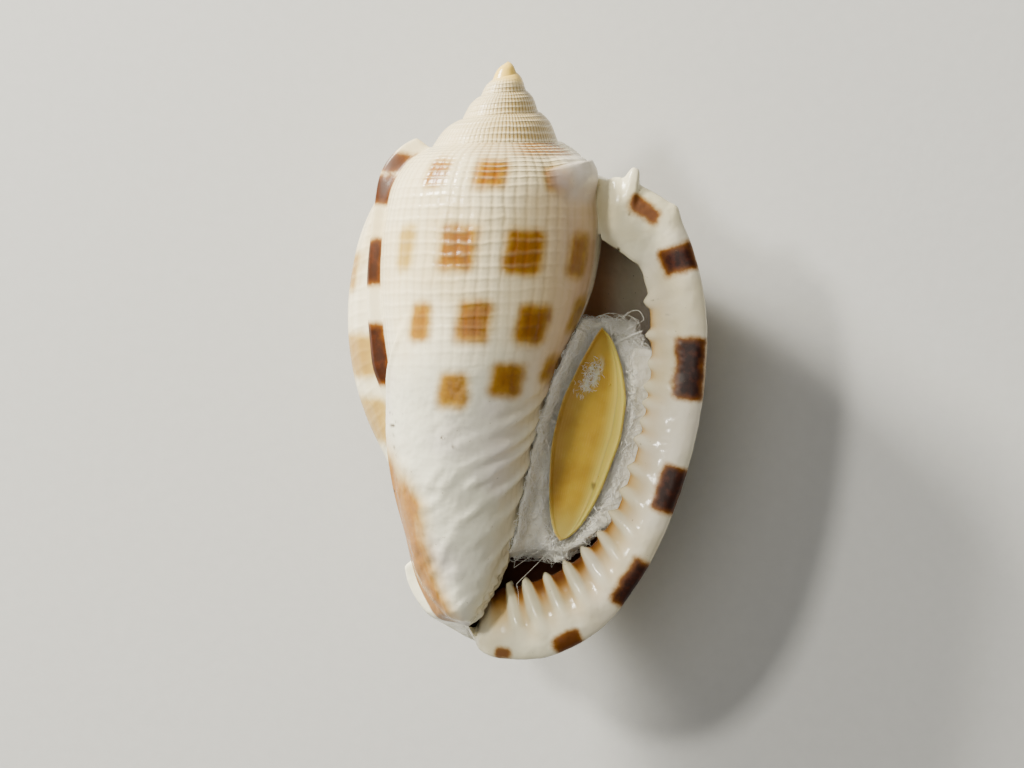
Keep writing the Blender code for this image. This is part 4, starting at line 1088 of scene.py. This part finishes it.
def outside_plate(x, t):
    """Distance from the operculum's outline in mm, 0 under it."""
    left, right = plate_edges(np.linspace(0, 1, 60))
    loop = np.concatenate([left, right[::-1]])
    here = np.stack([x, t], -1)
    far = np.full(len(here), np.inf)
    inside = np.zeros(len(here), bool)
    for a, b in zip(loop, np.roll(loop, -1, 0)):
        edge = b - a
        u = np.clip((here - a) @ edge / max(edge @ edge, 1e-9), 0, 1)
        far = np.minimum(far, np.linalg.norm(here - a - u[:, None] * edge, axis=1))
        if a[1] != b[1]:
            crosses = (a[1] > t) != (b[1] > t)
            inside ^= crosses & (x < a[0] + (t - a[1]) * edge[0] / edge[1])
    return np.where(inside, 0.0, far)


def operculum_piece(shift):
    """Half-moon plate, a little arched, with a thin raised rim."""
    u, w = (0.5 - 0.5 * np.cos(np.linspace(0, math.pi, count)) for count in PLATE_GRID)
    left, right = plate_edges(u)
    places = left[:, None] + w[None, :, None] * (right - left)[:, None]
    x, t = places[..., 0], places[..., 1]
    u = u[:, None]
    wide = np.maximum(np.linalg.norm(right - left, axis=1), 1e-4)[:, None]
    rim = np.minimum(np.minimum(w, 1 - w) * wide, np.minimum(u, 1 - u) * 19.0)
    rounded = 1 - np.sqrt(np.clip(1 - (1 - np.clip(rim / 0.22, 0, 1)) ** 2, 0, 1))
    base = COTTON_TOP + PLATE_GAP
    arch = 0.12 * (1 - (2 * w - 1) ** 2) * np.sin(math.pi * u)
    ridge = 0.035 * np.exp(-((w - 0.84) / 0.020) ** 2) + 0.05 * np.exp(-((rim - 0.20) / 0.09) ** 2)
    wave = 0.03 * wobble(np.stack([x, t, 0 * x], -1), 0.6, 2.2)
    top = base + PLATE - 0.5 * PLATE * rounded + (arch + wave + ridge - 0.05) * np.clip(rim / 0.3, 0, 1)
    under = base + 0.45 * PLATE * rounded + 0.02
    points = np.concatenate([np.stack([x, t, top], -1), np.stack([x, t, under], -1)]).reshape(-1, 3)
    upper = np.arange(x.size).reshape(x.shape)
    loop = np.concatenate([upper[0], upper[1:, -1], upper[-1, -2::-1], upper[-2:0:-1, 0]]).tolist()
    faces = sheet(upper) + [face[::-1] for face in sheet(upper + x.size)]
    faces += [(b, a, a + x.size, b + x.size) for a, b in zip(loop, loop[1:] + loop[:1])]
    piece = mesh_piece("operculum_plate", turned(points) + shift, faces)
    frayed = fade(0.55, 1.25, np.hypot((x - 8.95 - 0.336 * (26.9 - t)) / 0.75, (t - 26.9) / 1.55))
    dot = fade(0.5, 1.2, np.hypot((x - 9.55) / 0.24, (t - 36.5) / 0.30))
    for name, value in (("across", w), ("low", u), ("rim", rim), ("frayed", frayed), ("dot", dot)):
        give_value(piece.data, name, np.tile(np.broadcast_to(value, x.shape).reshape(-1), 2))
    return piece


# ---------------------------------------------------------------- cotton wool
# long hairs that stray from the cotton wool, as points x, t, z
HAIRS = [
    [(10.9, 22.1, 1.9), (11.7, 21.3, 2.3), (12.6, 21.1, 2.5), (13.1, 21.9, 2.5), (12.9, 23.0, 2.3)],
    [(10.4, 22.1, 1.8), (11.4, 21.5, 2.0), (12.2, 21.8, 2.1), (12.8, 22.5, 2.0), (12.4, 23.6, 2.0)],
    [(11.5, 22.9, 2.1), (12.2, 22.5, 2.3), (12.9, 22.6, 2.4), (13.2, 23.4, 2.5)],
    [(9.0, 22.1, 1.5), (9.9, 21.5, 1.7), (11.0, 21.6, 1.9), (11.9, 22.3, 2.0), (12.2, 23.2, 2.1)],
    [(8.4, 22.4, 1.3), (9.3, 21.7, 1.6), (10.3, 21.9, 1.9), (11.0, 22.8, 2.0)],
    [(12.1, 23.4, 2.1), (12.8, 23.0, 2.5), (13.1, 23.9, 2.6), (12.7, 24.9, 2.5)],
    [(2.9, 42.3, 1.6), (3.2, 43.2, 1.9), (3.1, 44.4, 2.3), (3.5, 45.8, 3.0), (3.7, 47.2, 3.6)],
    [(6.2, 42.4, 1.7), (6.0, 43.0, 1.8), (6.6, 43.3, 1.9), (7.3, 42.9, 1.9)],
    [(9.4, 41.2, 2.1), (9.9, 40.9, 2.3), (10.3, 40.2, 2.5), (10.0, 39.4, 2.4)],
]


def kept_clear(points, tree, clear):
    """Points in metres, moved where needed to stay clear of a surface."""
    moved = points.copy()
    for n, point in enumerate(points):
        spot, away, _, _ = tree.find_nearest(point)
        if (Vector(point) - spot).dot(away) < clear:
            moved[n] = spot + away * clear
    return moved


def evened(values, edges, rounds):
    """Values of mesh vertices, evened out with their neighbours."""
    both = np.concatenate([edges, edges[:, ::-1]])
    count = np.maximum(np.bincount(both[:, 0], minlength=len(values)), 1.0)
    for _ in range(rounds):
        values = 0.5 * values + 0.5 * np.bincount(both[:, 0], values[both[:, 1]], len(values)) / count
    return values


def even_copy(source, name):
    """A copy of a solid with an even, slightly rounded mesh."""
    piece = new_object(name, source.data.copy())
    piece.data.materials.clear()
    remesh = piece.modifiers.new("even", "REMESH")
    remesh.mode = "VOXEL"
    remesh.voxel_size = 0.00022
    piece.modifiers.new("soften", "SMOOTH").iterations = 5
    mesh = bpy.data.meshes.new_from_object(piece.evaluated_get(bpy.context.evaluated_depsgraph_get()))
    piece.modifiers.clear()
    piece.data = mesh
    mesh.name = name
    return piece


def cotton_reach(points, normals, u, side, tree, shift):
    """Which way each point looks from the middle of the cotton wool, and how far it may spread that way."""
    heading = unit(np.stack([side, 0 * u, points[:, 2] + 0.2], -1))
    reach = np.full(len(u), 0.3)
    starts = turned(points) + shift
    aims = turned(heading) / MM
    for n in np.nonzero(np.abs(heading[:, 2]) < 0.75)[0]:
        hit = tree.ray_cast(Vector(starts[n]), Vector(aims[n]), 0.004)
        if hit[0] is not None:
            reach[n] = hit[3] / MM - COTTON_CLEAR
    loose = smooth(-1.6, -0.4, points[:, 2]) * fade(0.45, 0.85, normals[:, 2])
    corner = 1 - fade(0.0, 0.18, u) * smooth(0.3, 1.6, side)
    return heading, np.clip(reach, 0.0, COTTON_REACH) * loose * corner


def cotton_base(shell, shift):
    """The mass of the cotton wool: the solid's form with a loose edge that reaches to the shell."""
    piece = even_copy(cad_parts["cotton_wool"], "cotton_mass")
    mesh = piece.data
    points = own_places(read(mesh.vertices, "co"), shift)
    normals = own_places(read(mesh.vertices, "normal") * MM, 0)
    tree = surface(shell)
    u = (points[:, 1] - COTTON_ENDS[0]) / (COTTON_ENDS[1] - COTTON_ENDS[0])
    side = points[:, 0] - COTTON_MIDDLE[0] - (COTTON_MIDDLE[1] - COTTON_MIDDLE[0]) * u
    heading, reach = cotton_reach(points, normals, u, side, tree, shift)
    points = points + heading * evened(reach, read(mesh.edges, "vertices", 2, int), 3)[:, None]
    points[:, 1] += 1.5 * fade(0.0, 0.12, u) * smooth(0.2, 2.2, side)
    over = np.maximum(points[:, 1] - straight(COTTON_FOOT, points[:, 0]) + 0.8, 0.0)
    points[:, 1] += 0.8 * (1 - np.exp(-over / 0.8)) - over
    points[:, 2] -= 0.7 * smooth(0.1, 1.4, over)
    ends = 1 - smooth(0.0, 0.05, u) * fade(0.97, 1.0, u)
    lumps = 0.15 * wobble(points, 0.55, 4.0) + 0.12 * wobble(points, 1.6, 9.0)
    lumps = lumps + 0.07 * wobble(points, 4.0, 1.0) + ends * (0.30 + 0.45 * wobble(points, 0.9, 6.0))
    points = points + normals * (lumps - 0.04)[:, None]
    wall = np.array([tree.find_nearest(place)[3] for place in turned(points) + shift]) / MM
    climb = COTTON_CLIMB * fade(0.05, 1.1, wall) * (1 - 0.65 * smooth(-1.0, 1.0, side))
    front = smooth(-0.3, 0.7, points[:, 2]) * smooth(0.05, 0.8, outside_plate(points[:, 0], points[:, 1]))
    points[:, 2] += front * (COTTON_RISE * (1 - 0.5 * ends) + climb * (1 - ends))
    placed = turned(points) + shift
    for _ in range(2):
        placed = kept_clear(placed, tree, COTTON_CLEAR * MM)
    mesh.vertices.foreach_set("co", placed.reshape(-1))
    mesh.polygons.foreach_set("use_smooth", [True] * len(mesh.polygons))
    mesh.update()
    return piece


def strands_mesh(name, paths, radius):
    """One mesh of thin three-sided tubes along the paths, tapering to their ends."""
    strands, rings, _ = paths.shape
    ahead = unit(np.gradient(paths, axis=1))
    across = unit(np.cross(ahead, np.array([0.31, 0.52, 0.80])))
    above = np.cross(ahead, across)
    taper = 0.35 + 0.65 * np.sin(math.pi * np.linspace(0.05, 0.95, rings)) ** 0.5
    wide = (radius[:, None] * taper)[..., None]
    turns = [2 * math.pi * n / 3 for n in range(3)]
    points = np.stack([paths + (math.cos(turn) * across + math.sin(turn) * above) * wide
                       for turn in turns], 2)
    ids = np.arange(strands * rings * 3).reshape(strands, rings, 3)
    ids = np.concatenate([ids, ids[..., :1]], 2)
    corners = [ids[:, :-1, :-1], ids[:, :-1, 1:], ids[:, 1:, 1:], ids[:, 1:, :-1]]
    return mesh_piece(name, points.reshape(-1, 3), np.stack(corners, -1).reshape(-1, 4).tolist())


def fibre_paths(mass, count, rng):
    """Short paths that wander over the cotton wool and stand off it here and there."""
    rings = 8
    up = np.array(rest_turn().to_3x3())[:, 2]
    normals = read(mass.data.polygons, "normal")
    weight = np.clip(normals @ up + 0.15, 0, None)
    picks = rng.choice(len(normals), count, p=weight / weight.sum())
    tree = surface(mass)
    place = read(mass.data.polygons, "center")[picks] + rng.normal(0, 0.00008, (count, 3))
    normal = normals[picks]
    heading = rng.normal(size=(count, 3))
    heading = unit(heading - (heading * normal).sum(1)[:, None] * normal)
    length = rng.uniform(0.8, 2.6, count) * MM
    lift = rng.gamma(1.7, 0.085, count) * MM
    stray = rng.random(count) < 0.07
    lift[stray] = rng.uniform(0.20, 0.75, stray.sum()) * MM
    length[stray] *= 1.3
    curl = rng.normal(0, 0.42, (count, 3))
    paths = np.zeros((count, rings, 3))
    for ring in range(rings):
        paths[:, ring] = place
        curl = 0.7 * curl + rng.normal(0, 0.30, (count, 3))
        heading = unit(heading + 0.5 * curl)
        place = place + heading * (length / (rings - 1))[:, None]
        height = lift * math.sin(math.pi * min((ring + 1) / (rings - 1), 1.0) * 0.9) + 0.00003
        for n in range(count):
            spot, away, _, _ = tree.find_nearest(place[n])
            place[n] = np.array(spot) + np.array(away) * height[n]
    return paths


def is_clear(path, trees, clear):
    """Whether a path stays clear of every surface."""
    for point in path:
        for tree in trees:
            spot, away, _, _ = tree.find_nearest(point)
            if (Vector(point) - spot).dot(away) < clear:
                return False
    return True


def cotton_fibres(mass, shell, plate, shift):
    """Loose fibres of the cotton wool, in two pieces, and the long hairs that stray from it."""
    rng = np.random.default_rng(SEED)
    trees = [surface(shell), surface(plate)]
    paths = fibre_paths(mass, FIBRES, rng)
    for n in range(1, FIBRES, 2):
        paths[n] = kept_clear(paths[n], trees[0], 0.05 * MM)
    good = np.array([is_clear(path, trees, 0.035 * MM) for path in paths])
    radius = rng.uniform(0.018, 0.040, FIBRES) * MM
    pieces = []
    for name, part in (("cotton_fibres_a", slice(0, None, 2)), ("cotton_fibres_b", slice(1, None, 2))):
        pieces.append(strands_mesh(name, paths[part][good[part]], radius[part][good[part]]))
    long = []
    for points in HAIRS:
        path = along(np.array(points, float), np.linspace(0, len(points) - 1, 36))
        placed = turned(path + 0.05 * np.stack([wobble(path, 1.3, s) for s in (1.0, 5.0, 9.0)], -1)) + shift
        for tree in trees:
            placed = kept_clear(placed, tree, 0.06 * MM)
        long.append(placed)
    pieces.append(strands_mesh("cotton_hairs", np.array(long), np.full(len(long), 0.020 * MM)))
    pieces.append(stuck_fibres(plate, shift, rng))
    return pieces


def stuck_fibres(plate, shift, rng):
    """Short fibres that stick to the upper half of the operculum."""
    tree = surface(plate)
    up = np.array(rest_turn().to_3x3())[:, 2]
    rings = 7
    paths = []
    while len(paths) < STUCK_FIBRES:
        across, down = rng.normal(0, 0.34), rng.normal(0, 0.72)
        place = np.array([8.75 - 0.36 * down + across, 27.1 + down, 4.0])
        turn = rng.uniform(0, 2 * math.pi)
        path = []
        for _ in range(rings):
            turn = turn + rng.normal(0, 0.45)
            place = place + 0.075 * np.array([math.cos(turn), math.sin(turn), 0.0])
            hit = tree.ray_cast(Vector(turned(place) + shift), Vector(-up))
            if hit[0] is None:
                break
            path.append(np.array(hit[0]) + up * (0.030 + 0.05 * abs(math.sin(3.0 * turn))) * MM)
        if len(path) == rings:
            paths.append(path)
    return strands_mesh("cotton_stuck_fibres", np.array(paths), np.full(len(paths), 0.020 * MM))


# ---------------------------------------------------------------- stage
CAMERA_AIM = (1.99, -28.1, 2.0)    # mm, in the shell's own axes
CAMERA_DISTANCE = 620.0
CAMERA_REACH = 89.04         # width of what it sees there
CAMERA_ROLL = 3.34
LIGHTS_AIM = (0.0, -26.0, 2.0)
LIGHTS = [                   # name, place from the aim in metres, size, power, colour
    ("key", (-0.34, 0.29, 0.17), 0.12, 8.9, (1.0, 0.96, 0.82)),
    ("left", (-0.24, 0.14, 0.39), 0.06, 1.9, (1.0, 0.965, 0.84)),
    ("front", (0.06, 0.02, 0.53), 0.40, 1.0, (1.0, 0.98, 0.89)),
]


def camera_and_lights(shift):
    """Camera square on to the mouth side, with the spire up, and soft lights placed in its frame."""
    level = Matrix.Translation(shift) @ rest_turn()
    data = bpy.data.cameras.new("camera")
    data.sensor_width = 36.0
    data.lens = data.sensor_width * CAMERA_DISTANCE / CAMERA_REACH
    data.clip_start = 0.01
    data.clip_end = 20.0
    camera = new_object("camera", data)
    out = Matrix.Translation((Vector(CAMERA_AIM) + Vector((0, 0, CAMERA_DISTANCE))) * MM)
    camera.matrix_world = level @ out @ Matrix.Rotation(math.radians(CAMERA_ROLL), 4, "Z")
    bpy.context.scene.camera = camera
    aim = level @ (Vector(LIGHTS_AIM) * MM)
    for name, place, size, power, colour in LIGHTS:
        data = bpy.data.lights.new(name, "AREA")
        data.size = size
        data.energy = power
        data.color = colour
        light = new_object(name, data)
        light.location = aim + Vector(place)
        light.rotation_mode = "QUATERNION"
        light.rotation_quaternion = (aim - light.location).to_track_quat("-Z", "Y")
    world = bpy.data.worlds.new("studio")
    world.use_nodes = True
    world.node_tree.nodes["Background"].inputs["Color"].default_value = (1.0, 0.99, 0.96, 1.0)
    world.node_tree.nodes["Background"].inputs["Strength"].default_value = 0.15
    bpy.context.scene.world = world


def floor_piece():
    g = Graph("floor_paper")
    grain = g.noise(900.0)
    g.finish(Base_Color=g.mix(grain, (182, 182, 182), (189, 189, 189)), Roughness=0.9,
             Normal=g.bumps((grain, 0.00002)))
    corners = np.array([(-3, -3, 0), (3, -3, 0), (3, 3, 0), (-3, 3, 0)], float)
    floor = mesh_piece("floor", corners, [(0, 1, 2, 3)], False)
    floor.location.z = cad_box[0].z - 0.00002
    floor.data.materials.append(g.material)


def main():
    shell, shift = build_shell()
    shell.data.materials.append(shell_material())
    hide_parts("shell")
    plate = operculum_piece(shift)
    plate.data.materials.append(operculum_material())
    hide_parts("operculum")
    mass = cotton_base(shell, shift)
    mass.data.materials.append(cotton_material())
    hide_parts("cotton_wool")
    fibres = cotton_fibres(mass, shell, plate, shift)
    fibre_look = fibre_material()
    for piece in fibres:
        piece.data.materials.append(fibre_look)
    for piece in [shell, plate, mass] + fibres:
        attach(piece, "root")
    floor_piece()
    camera_and_lights(Vector(shift))


main()
